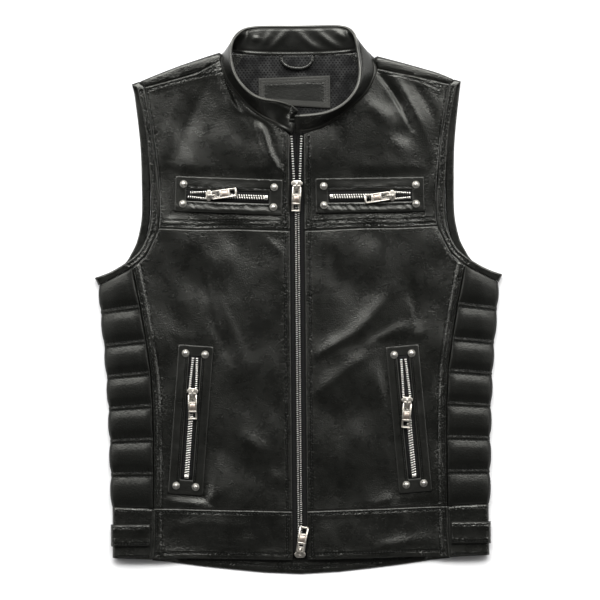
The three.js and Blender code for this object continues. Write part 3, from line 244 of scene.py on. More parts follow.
shader, f = quilt_leather.node_tree.nodes["Principled BSDF"], Field(quilt_leather.node_tree)
shader.inputs["Specular IOR Level"].default_value = 0.25
outer = f.node("ShaderNodeSeparateXYZ", None, {"Vector": place(f)}, out="X").size().ramp(0.228, 0.246)
plug(f, shader, "Roughness", 0.36 + 0.12 * outer + 0.18 * (speckle(f, place(f), 500, 3) - 0.5))

collar_leather = leather(
    "collar_leather", (0.0013, 0.0014, 0.0012), (0.0034, 0.0035, 0.0030), gloss=0.305,
    grain=0.06, wrinkles=0.03, sewn=0.2, roll=0.3, puckered=0.5,
)
shader, f = collar_leather.node_tree.nodes["Principled BSDF"], Field(collar_leather.node_tree)
rim = attribute(f, "rim")
# Painted highlight: a light line along the collar's rolled rim and a fainter one along the sewing line 3.4
# mm in, for the light those edges catch. open_end keeps these lines off the front ends and dims them along
# the back neck seam.
painted_highlight_lines = rim.ramp(1.2, 0.3) + 0.55 * (rim - 3.4).size().ramp(1.0, 0.2)
split = f.node("ShaderNodeSeparateXYZ", None, {"Vector": place(f)}, out="X")
along = f.node("ShaderNodeSeparateXYZ", None, {"Vector": place(f)}, out="Y")
open_end = f.maths("MAXIMUM", split.ramp(-0.016, -0.034), split.ramp(0.002, 0.005))
open_end = f.maths("MAXIMUM", open_end, along.ramp(0.240, 0.260))
open_end = open_end * (1.0 - 0.8 * along.ramp(0.300, 0.306) * along.ramp(0.328, 0.322))
plug(f, shader, "Base Color", tone(f, painted_highlight_lines * open_end, (0.0020, 0.0021, 0.0018), (0.060, 0.059, 0.053)))

label_leather = leather(
    "label_leather", (0.0016, 0.0016, 0.0014), (0.0050, 0.0050, 0.0043), gloss=0.33,
    grain=0.08, wrinkles=0.05, sewn=0.3, roll=0.3, puckered=0.4,
)
shader, f = label_leather.node_tree.nodes["Principled BSDF"], Field(label_leather.node_tree)
border = attribute(f, "rim").ramp(8.2, 7.4) * (0.55 + 0.9 * speckle(f, place(f), 380, 3, 0.7))
plug(f, shader, "Base Color", tone(f, border, (0.0022, 0.0023, 0.0020), (0.0090, 0.0088, 0.0078)))
plug(f, shader, "Roughness", 0.36 + 0.3 * border)
shader.inputs["Specular IOR Level"].default_value = 0.46

thread, shader, f = start_material("thread", (0.006, 0.006, 0.0056), 0.48)
shader.inputs["Specular IOR Level"].default_value = 0.45
strands = speckle(f, place(f), 1600, 2)
plug(f, shader, "Base Color", tone(f, strands, (0.0015, 0.0015, 0.0014), (0.007, 0.007, 0.0064)))


def metal(name, dark, light, gloss, worn):
    """Nickel plate: warm silver, soft scratches, darker where the plating is worn."""
    material, shader, f = start_material(name, light, gloss, 1.0)
    here = place(f)
    patches = speckle(f, here, 500, 3, 0.6)
    scratch = speckle(f, place(f, (1, 0.08, 1), 35), 2600, 2, 0.5)
    plug(f, shader, "Base Color", tone(f, patches.ramp(0.4, 0.75) * worn, light, dark))
    plug(f, shader, "Roughness", gloss + 0.22 * (scratch - 0.5) + 0.15 * patches * worn)
    plug(f, shader, "Normal", relief(f, scratch + patches, 0.02 * MM))
    return material


bright_nickel = metal("bright_nickel", (0.42, 0.40, 0.35), (0.72, 0.70, 0.65), 0.28, 0.4)
pull_nickel = metal("pull_nickel", (0.33, 0.30, 0.25), (0.60, 0.565, 0.51), 0.27, 0.7)
sunk_nickel = metal("sunk_nickel", (0.20, 0.16, 0.13), (0.40, 0.34, 0.29), 0.36, 0.9)
tooth_nickel = metal("tooth_nickel", (0.16, 0.155, 0.145), (0.42, 0.41, 0.385), 0.30, 0.8)
pocket_nickel = metal("pocket_nickel", (0.25, 0.24, 0.22), (0.62, 0.60, 0.56), 0.30, 0.6)

tape_cloth, shader, f = start_material("tape_cloth", (0.006, 0.006, 0.006), 0.85)
shader.inputs["Specular IOR Level"].default_value = 0.12
rib = f.node("ShaderNodeTexWave", {"bands_direction": "Y"}, {"Vector": place(f), "Scale": 260.0})
plug(f, shader, "Base Color", tone(f, rib, (0.002, 0.002, 0.002), (0.007, 0.007, 0.0068)))
plug(f, shader, "Normal", relief(f, rib, 0.25 * MM))

mesh_cloth, shader, f = start_material("mesh_cloth", (0.02, 0.02, 0.02), 0.8)
shader.inputs["Specular IOR Level"].default_value = 0.16
across = place(f, (1 / (4.4 * MM), 1 / (6.0 * MM), 1))
split = f.node("ShaderNodeSeparateXYZ", None, {"Vector": across}, out="X")
down = f.node("ShaderNodeSeparateXYZ", None, {"Vector": across}, out="Y")


def hole_rows(shift):
    """Round holes on a grid; a second grid half a step off makes the diamond."""
    x = f.maths("FRACT", split + shift) - 0.5
    y = f.maths("FRACT", down + shift) - 0.5
    return f.maths("SQRT", x * x + y * y * 1.86)


holes = f.maths("MINIMUM", hole_rows(0.0), hole_rows(0.5)).ramp(0.16, 0.27)
fuzz = speckle(f, place(f), 1500, 2)
# Painted light and shade: broad noise patches about 16 mm across make the lining's cloth lighter or darker,
# in place of the light and shade of its folds. The holes stay near black.
painted_light_patches = speckle(f, place(f), 60, 3)
lit = holes * (0.08 + 0.92 * painted_light_patches.ramp(0.36, 0.7))
plug(f, shader, "Base Color", tone(f, lit, (0.0006, 0.0006, 0.0006), (0.021, 0.0212, 0.0204)))
plug(f, shader, "Roughness", 0.62 + 0.3 * fuzz)
plug(f, shader, "Normal", relief(f, holes + fuzz * 0.35, 0.5 * MM))


# Shapes: tables are in mm, in plan, x from the middle and y towards the collar.


def curve(points, spacing=1.0):
    """Evenly spaced points on the smooth line through the given ones."""
    given = np.array(points, float)
    ends = np.vstack([2 * given[0] - given[1], given, 2 * given[-1] - given[-2]])
    steps = np.linspace(0, 1, 24, endpoint=False)[:, None]
    pieces = []
    for i in range(1, len(ends) - 2):
        a, b, c, d = ends[i - 1 : i + 3]
        square = (2 * a - 5 * b + 4 * c - d) * steps**2
        pieces.append(0.5 * (2 * b + (c - a) * steps + square + (3 * b - 3 * c + d - a) * steps**3))
    fine = np.vstack(pieces + [given[-1:]])
    run = np.concatenate([[0], np.cumsum(np.linalg.norm(np.diff(fine, axis=0), axis=1))])
    even = np.linspace(0, run[-1], max(2, round(run[-1] / spacing) + 1))
    return np.column_stack([np.interp(even, run, fine[:, k]) for k in range(fine.shape[1])])


def parallel(line, offset):
    """The line moved sideways, to the left of its direction when offset is positive."""
    way = np.gradient(line, axis=0)
    way /= np.linalg.norm(way, axis=1)[:, None]
    return line + offset * np.column_stack([-way[:, 1], way[:, 0]])


def mirrored(points, sign):
    return np.array(points, float) * (sign, 1)


def step(low, high, x):
    t = np.clip((x - low) / (high - low), 0, 1)
    return t * t * (3 - 2 * t)


def wave(x, y, size, seed, octaves=3):
    """Smooth uneven field between about -1 and 1, its features about size mm wide."""
    spots = [Vector((a / size, b / size, seed)) for a, b in zip(x, y)]
    return np.array([noise.fractal(spot, 1.0, 2.1, octaves) for spot in spots])


def from_line(line, x, y):
    """Distance to a line in plan, with its sign, and how far along it the nearest point is, 0 to 1."""
    tree = KDTree(len(line))
    for i, (a, b) in enumerate(line):
        tree.insert((a, b, 0), i)
    tree.balance()
    found = [tree.find((a, b, 0)) for a, b in zip(x, y)]
    index = np.array([entry[1] for entry in found])
    away = np.array([entry[2] for entry in found])
    way = np.gradient(line, axis=0)[index]
    side = way[:, 0] * (y - line[index, 1]) - way[:, 1] * (x - line[index, 0])
    return away * np.sign(side), index / (len(line) - 1)


# Pockets as they lie on the front: middle, turn, length and width, zip and slider places.
POCKETS = {
    "right_chest_pocket": dict(
        x=-88.8, y=133.6, turn=-2.6, length=137, width=45,
        slider=-22.0, stop=49, open=-51, zip=-1.0, creased=1.0,
    ),
    "left_chest_pocket": dict(
        x=92.2, y=132.9, turn=0.4, length=139, width=44,
        slider=25.5, stop=-50, open=51, zip=-1.5, creased=1.0,
    ),
    "right_side_pocket": dict(
        x=-139.8, y=-153.4, turn=85.4, length=191, width=44.6,
        slider=34.0, stop=-73.5, open=79, zip=0.0, creased=0.15,
    ),
    "left_side_pocket": dict(
        x=139.6, y=-154.4, turn=94.8, length=188, width=42,
        slider=21.5, stop=-73.5, open=79, zip=0.0, creased=0.15,
    ),
}
ZIP_X = -1.2

# Soft folds of the front layer: a ridge (+) or trough (-) along each line, its width, its lean to
# one side of the line, its height.
FOLDS = (
    (((-100, 292), (-80, 249), (-50, 228), (-37, 190), (-16, 156)), 5.5, 0.35, 2.2),
    (((-90, 280), (-71, 243), (-41, 221), (-29, 188), (-9, 158)), 3.6, 0.0, -1.9),
    (((-88, 262), (-62, 236), (-47, 200), (-33, 172)), 6.0, -0.2, -0.9),
    (((-153, 257), (-160, 222), (-166, 180)), 7.0, 0.0, 0.8),
    (((-119, 272), (-141, 225), (-161, 173)), 6.0, 0.3, -0.6),
    (((-108, 226), (-112, 205), (-109, 188)), 6.0, 0.0, -0.6),
    (((104, 289), (127, 257), (148, 217)), 4.0, 0.4, -2.1),
    (((128, 281), (152, 232), (169, 188)), 6.0, -0.2, 1.4),
    (((148, 277), (171, 239), (180, 206)), 5.5, 0.0, -1.0),
    (((92, 250), (109, 235), (123, 228)), 8.0, 0.0, 1.1),
    (((120, 205), (136, 194), (148, 190)), 8.0, 0.0, 0.8),
    (((-128, 58), (-106, -34), (-88, -76)), 8.0, 0.2, -1.0),
    (((-114, 30), (-92, -26), (-72, -76)), 7.0, -0.2, 1.1),
    (((-42, 78), (-20, 60), (-4, 46)), 5.0, 0.0, 0.7),
    (((16, -76), (50, -56), (78, -40), (117, 6)), 6.0, 0.3, 1.2),
    (((92, -58), (118, -44), (141, -34)), 5.5, 0.0, 0.9),
    (((16, -126), (58, -92), (98, -64)), 6.5, 0.2, 0.9),
    (((142, 6), (150, -18), (154, -34)), 5.0, 0.3, -0.7),
    (((-180, -248), (-158, -257), (-128, -258), (-98, -246)), 5.0, 0.3, 0.8),
    (((94, -262), (122, -256), (159, -251), (178, -254)), 5.0, 0.3, 0.8),
    (((-78, -168), (-60, -188), (-44, -196)), 8.0, 0.0, 1.0),
    (((-40, -222), (-24, -230), (-12, -228)), 7.0, 0.0, 0.8),
    (((60, -150), (78, -190), (88, -222)), 9.0, 0.0, 0.6),
    (((96, -318), (130, -312), (168, -309)), 6.0, 0.0, 0.9),
    (((-120, -306), (-84, -312), (-52, -306)), 7.0, 0.0, 1.0),
    (((-168, -292), (-120, -286), (-62, -294)), 9.0, 0.0, 1.1),
)
FOLD_LINES = [curve(points, 1.5) for points, _, _, _ in FOLDS]


def looseness(x, y):
    """0 where a pocket or the zip holds the leather plain, 1 away from them."""
    free = step(10, 30, np.abs(x - ZIP_X))
    for p in POCKETS.values():
        c, s = math.cos(math.radians(p["turn"])), math.sin(math.radians(p["turn"]))
        u = np.abs((x - p["x"]) * c + (y - p["y"]) * s) - p["length"] / 2
        v = np.abs(-(x - p["x"]) * s + (y - p["y"]) * c) - p["width"] / 2
        free = free * step(1, 16, np.maximum(u, v))
    return free


def front_folds(x, y):
    """Extra height of the front layer in mm: its folds and the uneven lie of soft leather."""
    free = looseness(x, y)
    height = 0.9 + 3.6 * wave(x + 0.5 * y, y, 70, 3.1, 1)
    height += 0.75 * wave(x * 1.3 + y * 0.5, y * 0.7 - x * 0.4, 26, 8.2, 1)
    for (_, width, lean, rise), line in zip(FOLDS, FOLD_LINES):
        low, high = line.min(0) - 4 * width, line.max(0) + 4 * width
        near = (x > low[0]) & (x < high[0]) & (y > low[1]) & (y < high[1])
        if not near.any():
            continue
        away, along = from_line(line, x[near], y[near])
        wide = 1.3 * width * (1 + lean * np.sign(away)) * (0.8 + 0.4 * along)
        fading = np.sin(np.pi * np.clip(0.06 + 0.88 * along, 0, 1)) ** 0.6
        height[near] += 1.7 * rise * fading * np.exp(-((away / wide) ** 2))
    return np.maximum(height * free, -2.1)


pieces = {}
sewn_rows = []


def merged(node):
    """A copy of the solid's mesh with its corners joined and its cells as quads."""
    bm = bmesh.new()
    bm.from_mesh(nodes[node].data)
    bmesh.ops.remove_doubles(bm, verts=bm.verts, dist=2e-6)
    bmesh.ops.join_triangles(
        bm, faces=bm.faces, angle_face_threshold=math.radians(50), angle_shape_threshold=math.radians(70)
    )
    return bm


def show(name, mesh, material, body="vest", smooth=True):
    """A new object of the mesh that moves with the body."""
    obj = bpy.data.objects.new(name, mesh)
    mesh.materials.clear()
    mesh.materials.append(material)
    mesh.polygons.foreach_set("use_smooth", [smooth] * len(mesh.polygons))
    scene.collection.objects.link(obj)
    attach(obj, body)
    return obj


def rim_distance(mesh):
    """Keeps in the mesh how far each point lies from the piece's sharp rim, in mm."""
    bm = bmesh.new()
    bm.from_mesh(mesh)
    points = []
    for edge in bm.edges:
        if edge.is_manifold and edge.calc_face_angle() > math.radians(55):
            a, b = (v.co for v in edge.verts)
            points += [a.lerp(b, k / 5) for k in range(6)]
    tree = KDTree(len(points))
    for i, point in enumerate(points):
        tree.insert(point, i)
    tree.balance()
    away = [tree.find(v.co)[2] / MM for v in bm.verts] if points else [99.0] * len(bm.verts)
    bm.free()
    mesh.attributes.new("rim", "FLOAT", "POINT").data.foreach_set("value", away)
    mesh.attributes.new("stitch", "FLOAT", "POINT").data.foreach_set("value", [99.0] * len(away))


def coordinates(mesh):
    points = np.zeros(len(mesh.vertices) * 3)
    mesh.vertices.foreach_get("co", points)
    return points.reshape(-1, 3)


def evaluated(obj):
    return bpy.data.meshes.new_from_object(obj.evaluated_get(bpy.context.evaluated_depsgraph_get()))


def cloth(node, levels, material, shape=None, swell=None):
    """A leather or cloth piece: a smooth, finer copy of its solid, through the solid's own corners.

    shape(x, y, z) moves its points up, swell(x, y, z, rim) out along their normals, all in mm."""
    bm = merged(node)
    layer = bm.edges.layers.float.new("crease_edge")
    for edge in bm.edges:
        if edge.is_manifold and edge.calc_face_angle() > math.radians(60):
            edge[layer] = 1.0
    rough = bpy.data.meshes.new(node + "_cells")
    bm.to_mesh(rough)
    bm.free()
    helper = bpy.data.objects.new(node + "_cells", rough)
    scene.collection.objects.link(helper)
    finer = helper.modifiers.new("finer", "SUBSURF")
    finer.levels = finer.render_levels = levels
    wanted = coordinates(rough)
    for _ in range(2):
        mesh = evaluated(helper)
        missed = wanted - coordinates(mesh)[: len(wanted)]
        rough.vertices.foreach_set("co", (coordinates(rough) + missed).ravel())
        rough.update()
        bpy.data.meshes.remove(mesh)
    mesh = evaluated(helper)
    bpy.data.objects.remove(helper)
    rim_distance(mesh)
    if swell is not None:
        points, normals = coordinates(mesh), np.zeros(len(mesh.vertices) * 3)
        mesh.vertices.foreach_get("normal", normals)
        rim = np.zeros(len(mesh.vertices))
        mesh.attributes["rim"].data.foreach_get("value", rim)
        out = swell(points[:, 0] / MM, points[:, 1] / MM - SHIFT_Y, points[:, 2] / MM, rim)
        points += normals.reshape(-1, 3) * out[:, None] * MM
        points[:, 2] = np.maximum(points[:, 2], 0.0)
        mesh.vertices.foreach_set("co", points.ravel())
        mesh.update()
    if shape is not None:
        points = coordinates(mesh)
        x, y, z = points[:, 0] / MM, points[:, 1] / MM - SHIFT_Y, points[:, 2] / MM
        points[:, 2] += shape(x, y, z) * MM
        mesh.vertices.foreach_set("co", points.ravel())
        mesh.update()
    obj = show(node + "_cloth", mesh, material)
    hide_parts(node)
    pieces[node] = obj
    return obj


def tree_of(obj):
    mesh = obj.data
    return BVHTree.FromPolygons([v.co for v in mesh.vertices], [p.vertices for p in mesh.polygons])


def lay(obj, line, above=True):
    """The line, in mm in plan, laid on the piece from above or below: points and normals."""
    tree = tree_of(obj)
    found = []
    for x, y in line:
        start = Vector((x * MM, (y + SHIFT_Y) * MM, 0.2 if above else -0.2))
        point, normal, _, _ = tree.ray_cast(start, Vector((0, 0, -1 if above else 1)))
        if point is not None and abs(normal.z) > 0.15:
            found.append((point, normal if (normal.z > 0) == above else -normal))
    return found


def sew(node, lines, pitch=3.9, above=True, thick=1.0):
    """Rows of stitches on the piece, and in its mesh how far each point lies from them."""
    obj = pieces[node]
    points = []
    for line in lines:
        fine = curve(line, pitch / 4) if len(line) < 60 else np.array(line)
        found = lay(obj, curve(fine, pitch), above)
        for (here, up), (ahead, _) in zip(found, found[1:]):
            way = ahead - here
            if way.length < 2.2 * pitch * MM:
                sewn_rows.append((here, ahead, up, thick))
                points += [here.lerp(ahead, k / 4) for k in range(4)]
    tree = KDTree(len(points))
    for i, point in enumerate(points):
        tree.insert(point, i)
    tree.balance()
    data = obj.data.attributes["stitch"].data
    old = np.zeros(len(data))
    data.foreach_get("value", old)
    new = [tree.find(v.co)[2] / MM for v in obj.data.vertices]
    data.foreach_set("value", np.minimum(old, new))


# Front panels, chest panels and waistband: cut leather, joined by turned and topstitched seams.
YOKE_LINE = ((10, 88), (85, 90.7), (130, 90.3), (179, 92.5))
BAND_LINE = ((10, -271.3), (83, -269.1), (150, -267), (188.7, -266))
FRONT_HEM = ((10, -334.0), (83, -332.4), (145, -330.8), (191, -331.6))
SIDE_SEAM = (
    (213.3, 41.5), (203.6, -8.4), (196.4, -52.6), (190.9, -93.2), (188.8, -135.0),
    (188.2, -178.3), (188.2, -222.2), (188.7, -266.0), (189.0, -300.0), (191.0, -331.4),
)
SIDE_FOLD = (
    (255.4, 19.5), (253.4, -14.6), (249.2, -57.8), (246.3, -97.9), (244.3, -138.5),
    (243.0, -180.0), (242.3, -222.3), (241.0, -263.8), (241.0, -298.0), (241.4, -328.9),
)
ARM_EDGE = (
    (220.0, 49.2), (204.0, 62.9), (193.6, 82.5), (189.2, 97.0), (187.7, 115.0), (188.9, 147.0),
    (191.0, 181.0), (193.6, 211.0), (197.8, 238.0), (204.2, 268.5),
)
ARM_SEAM = (
    (213.3, 42.2), (196.4, 57.0), (185.0, 78.0), (179.0, 92.5), (177.0, 115.0), (178.0, 147.0),
    (181.0, 182.0), (184.6, 212.0), (189.2, 240.0), (194.6, 270.5),
)


SHOULDERS = {
    "right": ((-97, 297), (-130, 291), (-168, 282), (-198, 272)),
    "left": ((100, 297), (130, 291), (160, 283), (184, 272)),
}


def front_shape(x, y, z):
    """Soft folds, and the padded strip between the two rows beside the side seam."""
    seam = np.interp(y, [p[1] for p in SIDE_SEAM[::-1]], [p[0] for p in SIDE_SEAM[::-1]])
    inside = np.where(y < 46, seam - np.abs(x), 99.0)
    strip_rise = np.exp(-(((inside - 7.6) / 2.6) ** 2)) - 0.6 * np.exp(-(((inside - 12.6) / 2.0) ** 2))
    return front_folds(x, y) * step(2, 14, inside) + strip_rise * (1 + 0.5 * wave(x * 0.5, y, 7, 5.5, 1))


def strap_rows(node, in_x, in_y):
    """Two rows of stitches along a band's long edges."""
    low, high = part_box(node)
    rows = []
    for y in (low.y / MM - SHIFT_Y + in_y, high.y / MM - SHIFT_Y - in_y):
        rows.append(((low.x / MM + in_x, y), ((low.x + high.x) / 2 / MM, y), (high.x / MM - in_x, y)))
    return rows


for sign, side in ((-1, "right"), (1, "left")):
    for part, levels in (("front", 3), ("chest", 3), ("front_band", 3)):
        cloth(f"{side}_{part}", levels, panel_leather, front_shape)
    side_seam = curve(mirrored(SIDE_SEAM, sign), 1.0)
    upper = side_seam[side_seam[:, 1] > -264]
    lower = side_seam[side_seam[:, 1] < -272]
    sew(f"{side}_front", [parallel(upper, sign * offset) for offset in (-4.5, -11.0)])
    sew(f"{side}_front_band", [parallel(lower, sign * offset) for offset in (-4.5, -11.0)])
    yoke = curve(mirrored(YOKE_LINE, sign), 1.0)
    sew(f"{side}_chest", [parallel(yoke, sign * offset) for offset in (4.6, 10.6)])
    band = curve(mirrored(BAND_LINE, sign), 1.0)
    sew(f"{side}_front_band", [parallel(band, -sign * 4.0)])
    hem = curve(mirrored(FRONT_HEM, sign), 1.0)
    sew(f"{side}_front_band", [parallel(hem, sign * 7.5)])
    edge = ZIP_X + sign * 16.0
    sew(f"{side}_front", [curve(((edge, -268), (edge, 86)), 1.0)])
    sew(f"{side}_chest", [curve(((edge, 90), (edge, 208)), 1.0)])
    arm = curve(mirrored(ARM_SEAM, sign), 1.0)
    sew(f"{side}_chest", [parallel(arm[arm[:, 1] > 94], sign * 1.6)], 3.4)
    sew(f"{side}_front", [parallel(arm[arm[:, 1] < 86], sign * 1.6)], 3.4)
    sew(f"{side}_front_band", [curve(((edge, -330), (edge, -275)), 1.0)])
    shoulder = SHOULDERS[side]
    sew(f"{side}_chest", [curve(shoulder, 1.0), curve(shoulder, 1.0) - (0, 5.5)])

# Quilted sides: two leathers with wadding between them, sewn in double rows across each channel.
QUILT_ROW = 2.8


def quilt_swell(x, y, z, rim):
    """A narrow flat strip between the two rows of a quilting line, full channels beside it."""
    away = np.full(len(x), 99.0)
    below = np.zeros(len(x), bool)
    for (seam_x, seam_y), (fold_x, fold_y) in list(zip(SIDE_SEAM, SIDE_FOLD))[1:7]:
        line_y = seam_y + (fold_y - seam_y) * (np.abs(x) - seam_x) / (fold_x - seam_x)
        nearer = np.abs(y - line_y) < away
        below = np.where(nearer, y < line_y, below)
        away = np.minimum(away, np.abs(y - line_y))
    strip_rise = 0.5 * step(QUILT_ROW, QUILT_ROW - 1.6, away)
    full = step(QUILT_ROW, QUILT_ROW + np.where(below, 9.0, 11.0), away) ** 0.7
    creased = 0.3 * wave(x * 2.4, y * 0.5, 9.0, 4.4, 2) * step(15, 4, away) * step(1, 3, away)
    inward = step(256, 232, np.abs(x))
    return (strip_rise + 0.8 * full * inward + creased - 0.4) * step(0.4, 3.0, rim)


def quilt_shape(x, y, z):
    """The channels run on flat under the side seam."""
    seam = np.interp(y, [p[1] for p in SIDE_SEAM[::-1]], [p[0] for p in SIDE_SEAM[::-1]])
    return 1.6 * step(9.0, 0.5, np.abs(x) - seam) * step(4.0, 8.0, z)


for sign, side in ((-1, "right"), (1, "left")):
    quilted = cloth(f"{side}_side", 3, quilt_leather, shape=quilt_shape, swell=quilt_swell)
    cloth(f"{side}_side_band", 2, panel_leather)
    cloth(f"{side}_side_strap", 2, trim_leather)
    sew(f"{side}_side_strap", strap_rows(f"{side}_side_strap", 2, 3.2))
    sew(f"{side}_side_band", strap_rows(f"{side}_side_band", 2, 3.6))
    for (seam_x, seam_y), (fold_x, fold_y) in list(zip(SIDE_SEAM, SIDE_FOLD))[1:7]:
        for gap in (-QUILT_ROW, QUILT_ROW):
            row = ((sign * (seam_x + 2), seam_y + gap), (sign * (fold_x + 3), fold_y + gap))
            sew(f"{side}_side", [curve(row, 1.0)])
            sew(f"{side}_side", [curve(row, 1.0)], above=False)

# Back: one leather panel on the table, its shoulders rolled over to the front seam.
bm = merged("back_body")
for axis, reach in ((0, 215), (1, 350)):
    for cut in range(-reach, reach, 12):
        co = [0, 0, 0]
        no = [0, 0, 0]
        co[axis] = cut * MM
        no[axis] = 1
        bmesh.ops.bisect_plane(bm, geom=bm.verts[:] + bm.edges[:] + bm.faces[:], plane_co=co, plane_no=no)
for vert in bm.verts:
    x, y = vert.co.x / MM, vert.co.y / MM
    if 96 < abs(x) < 128 and y > 290 and vert.co.z > 8 * MM:
        vert.co.x -= math.copysign(3.2 * MM * float(step(128, 100, abs(x))), x)
    if abs(x) > 176 and y > 255 and vert.co.z > 6 * MM:
        vert.co.x += math.copysign(2.6 * MM * float(step(176, 186, abs(x))), x)
mesh = bpy.data.meshes.new("back_body_cloth")
bm.to_mesh(mesh)
bm.free()
rim_distance(mesh)
back = show("back_body_cloth", mesh, panel_leather)
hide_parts("back_body")
pieces["back_body"] = back
points = coordinates(mesh) / MM
for above in (True, False):
    hem = []
    for x in range(-180, 181, 12):
        near = points[np.abs(points[:, 0] - x) < 9]
        hem.append((x, near[:, 1].min() - SHIFT_Y + 7.5))
    sew("back_body", [hem], above=above)

# Armhole bands, collar, lining and label.
for sign, side in ((-1, "right"), (1, "left")):
    cloth(f"{side}_armhole", 2, trim_leather)
    band = (mirrored(ARM_SEAM, sign) + mirrored(ARM_EDGE, sign)) / 2
    sew(f"{side}_armhole", [curve(band, 1.0)], 3.4)
COLLAR_FOLDS = (
    ((-49.3, 338.7), (-53.6, 330.0)),
    ((-33.2, 342.0), (-42.1, 326.0)),
    ((-14.3, 342.0), (-26.3, 327.9), (-33.0, 322.0)),
    ((1.6, 343.0), (15.9, 327.6), (30.0, 319.5)),
    ((26.3, 343.0), (40.7, 330.2), (53.0, 322.0)),
    ((51.0, 343.0), (64.0, 331.0)),
)
COLLAR_LINES = [curve(points, 1.0) for points in COLLAR_FOLDS]


def collar_swell(x, y, z, rim):
    """Turned edges: a full roll at each edge and a sunk sewing line behind it."""
    return 0.55 * np.exp(-(((rim - 0.6) / 1.3) ** 2)) - 0.35 * np.exp(-(((rim - 4.0) / 1.1) ** 2))


def collar_shape(x, y, z):
    height = np.zeros(len(x))
    for line in COLLAR_LINES:
        away, along = from_line(line, x, y)
        fading = np.sin(np.pi * np.clip(0.1 + 0.8 * along, 0, 1)) * step(300, 318, y)
        height += 1.5 * fading * np.exp(-((away / 4.2) ** 2))
    return height * step(349, 343, y) * step(312, 318, y) + 0.3 * wave(x, y, 18, 6.6, 1) * step(300, 280, y)


collar = cloth("collar", 3, collar_leather, collar_shape, collar_swell)
for vert in collar.data.vertices:
    x, y = vert.co.x / MM, vert.co.y / MM
    if 0 < x < 36 and y < 240:
        vert.co.x -= 10.5 * MM * float(step(36, 8, x))
        vert.co.z += 2.2 * MM * float(step(24, 6, x))

LINING_FOLDS = (
    (((-10, 291), (24, 289), (58, 276), (76, 262)), 5.0, -0.9),
    (((4, 297), (40, 293), (70, 284)), 7.0, 0.8),
    (((-72, 300), (-56, 296), (-30, 290)), 6.0, 0.6),
    (((-78, 282), (-66, 270), (-58, 250)), 5.0, -0.8),
    (((52, 268), (62, 254), (60, 240)), 5.0, 0.7),
)


def lining_shape(x, y, z):
    """Soft folds of the loose lining, none under the label."""
    beside = np.maximum(np.abs(x + 3) - 47, np.abs(y - 268) - 18)
    height = 0.5 * wave(x, y, 22, 2.2, 2)
    for points, width, rise in LINING_FOLDS:
        away, along = from_line(curve(points, 1.5), x, y)
        height += rise * np.sin(np.pi * np.clip(0.08 + 0.84 * along, 0, 1)) * np.exp(-((away / width) ** 2))
    return height * step(0, 6, beside) * step(316, 308, y)


cloth("neck_lining", 3, mesh_cloth, lining_shape)
cloth("label", 4, label_leather)
for vert in pieces["label"].data.vertices:
    vert.co.y -= 6.0 * MM * float(step(274, 262, vert.co.y / MM))
LABEL = np.array(((-49, 283.1), (42.4, 286.0), (42.9, 244.4), (-49.2, 253.9)))
middle = LABEL.mean(0)
for inset in (2.2, 6.6):
    smaller = 1 - np.array((inset / 45.6, inset / 16.5))
    corners = [middle + (corner - middle) * smaller for corner in LABEL]
    sew("label", [(corners[0], corners[1]), (corners[1], corners[2]), (corners[0], corners[3])], 2.6)
for y in range(256, 285, 3):
    sew("label", [((35.4, y), (38.0, y + 0.4), (40.8, y + 0.8))], 2.6, thick=0.9)

# Hanger loop's finish: its leather, and the slanted stitches that close its roll.
tube.materials.clear()
tube.materials.append(trim_leather)
tube.polygons.foreach_set("use_smooth", [True] * len(tube.polygons))
for side in ("right", "left"):
    cloth(f"{side}_zip_tape", 1, tape_cloth)

# Teeth of all zips: one small bevelled block a tooth, its head over the middle of the chain.
def repeated(name, shape, places, material, body="vest"):
    """One mesh of the small shape set at every place."""
    bm = bmesh.new()
    for at in places:
        shape.transform(at)
        bm.from_mesh(shape)
        shape.transform(at.inverted())
    mesh = bpy.data.meshes.new(name)
    bm.to_mesh(mesh)
    bm.free()
    return show(name, mesh, material, body)


def block(name, size, bevel):
    """A bevelled block of size mm, its middle at the origin."""
    bm = bmesh.new()
    bmesh.ops.create_cube(bm, size=1.0, matrix=Matrix.Diagonal((*[s * MM for s in size], 1)))
    bmesh.ops.bevel(
        bm, geom=bm.edges[:], offset=bevel * MM, segments=1, affect="EDGES", profile=0.5, material=-1
    )
    mesh = bpy.data.meshes.new(name)
    bm.to_mesh(mesh)
    bm.free()
    return mesh


def teeth_along(node, line, pitch, reach, lean, one_side=0, rise=0.0):
    """Places of teeth whose tops are on the solid: in pairs across the line, or all on one side."""
    places = []
    spots = curve(line, pitch / (1 if one_side else 2))
    way = np.gradient(spots, axis=0)
    for k, ((x, y), (wx, wy)) in enumerate(zip(spots, way)):
        side = one_side or (1 if k % 2 else -1)
        if not one_side:
            x, y = x - side * wx * 0.22, y - side * wy * 0.22
        angle = math.atan2(wy, wx) - math.pi / 2
        out = Vector((math.cos(angle), math.sin(angle), 0)) * side * reach * MM
        found = lay(nodes[node], [(x, y)])
        if found:
            top = found[0][0]
            turn = Matrix.Rotation(angle + math.radians(lean), 4, "Z")
            places.append(Matrix.Translation(top + out - Vector((0, 0, (1.15 - rise) * MM))) @ turn)
    return places


tooth = block("tooth", (2.5, 1.15, 2.3), 0.3)
small_tooth = block("small_tooth", (3.1, 1.45, 2.1), 0.3)
places = teeth_along("zip_chain", ((ZIP_X, -315), (ZIP_X, 137)), 2.7, 1.75, 8)
chain = repeated("main_teeth", tooth, places, tooth_nickel)
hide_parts("zip_chain")
for sign, side in ((-1, "right"), (1, "left")):
    strand = ((ZIP_X + sign * 3.9, 154.5), (ZIP_X + sign * 5.0, 180), (ZIP_X + sign * 6.4, 208.5))
    places = teeth_along(f"{side}_zip_tape", strand, 3.1, 0.0, 0, 1, 0.5)
    upper = repeated(f"{side}_upper_teeth", small_tooth, places, tooth_nickel)


def local(p, u, v):
    """Place in plan of a point of the pocket, u along it and v across it."""
    c, s = math.cos(math.radians(p["turn"])), math.sin(math.radians(p["turn"]))
    return p["x"] + u * c - v * s, p["y"] + u * s + v * c


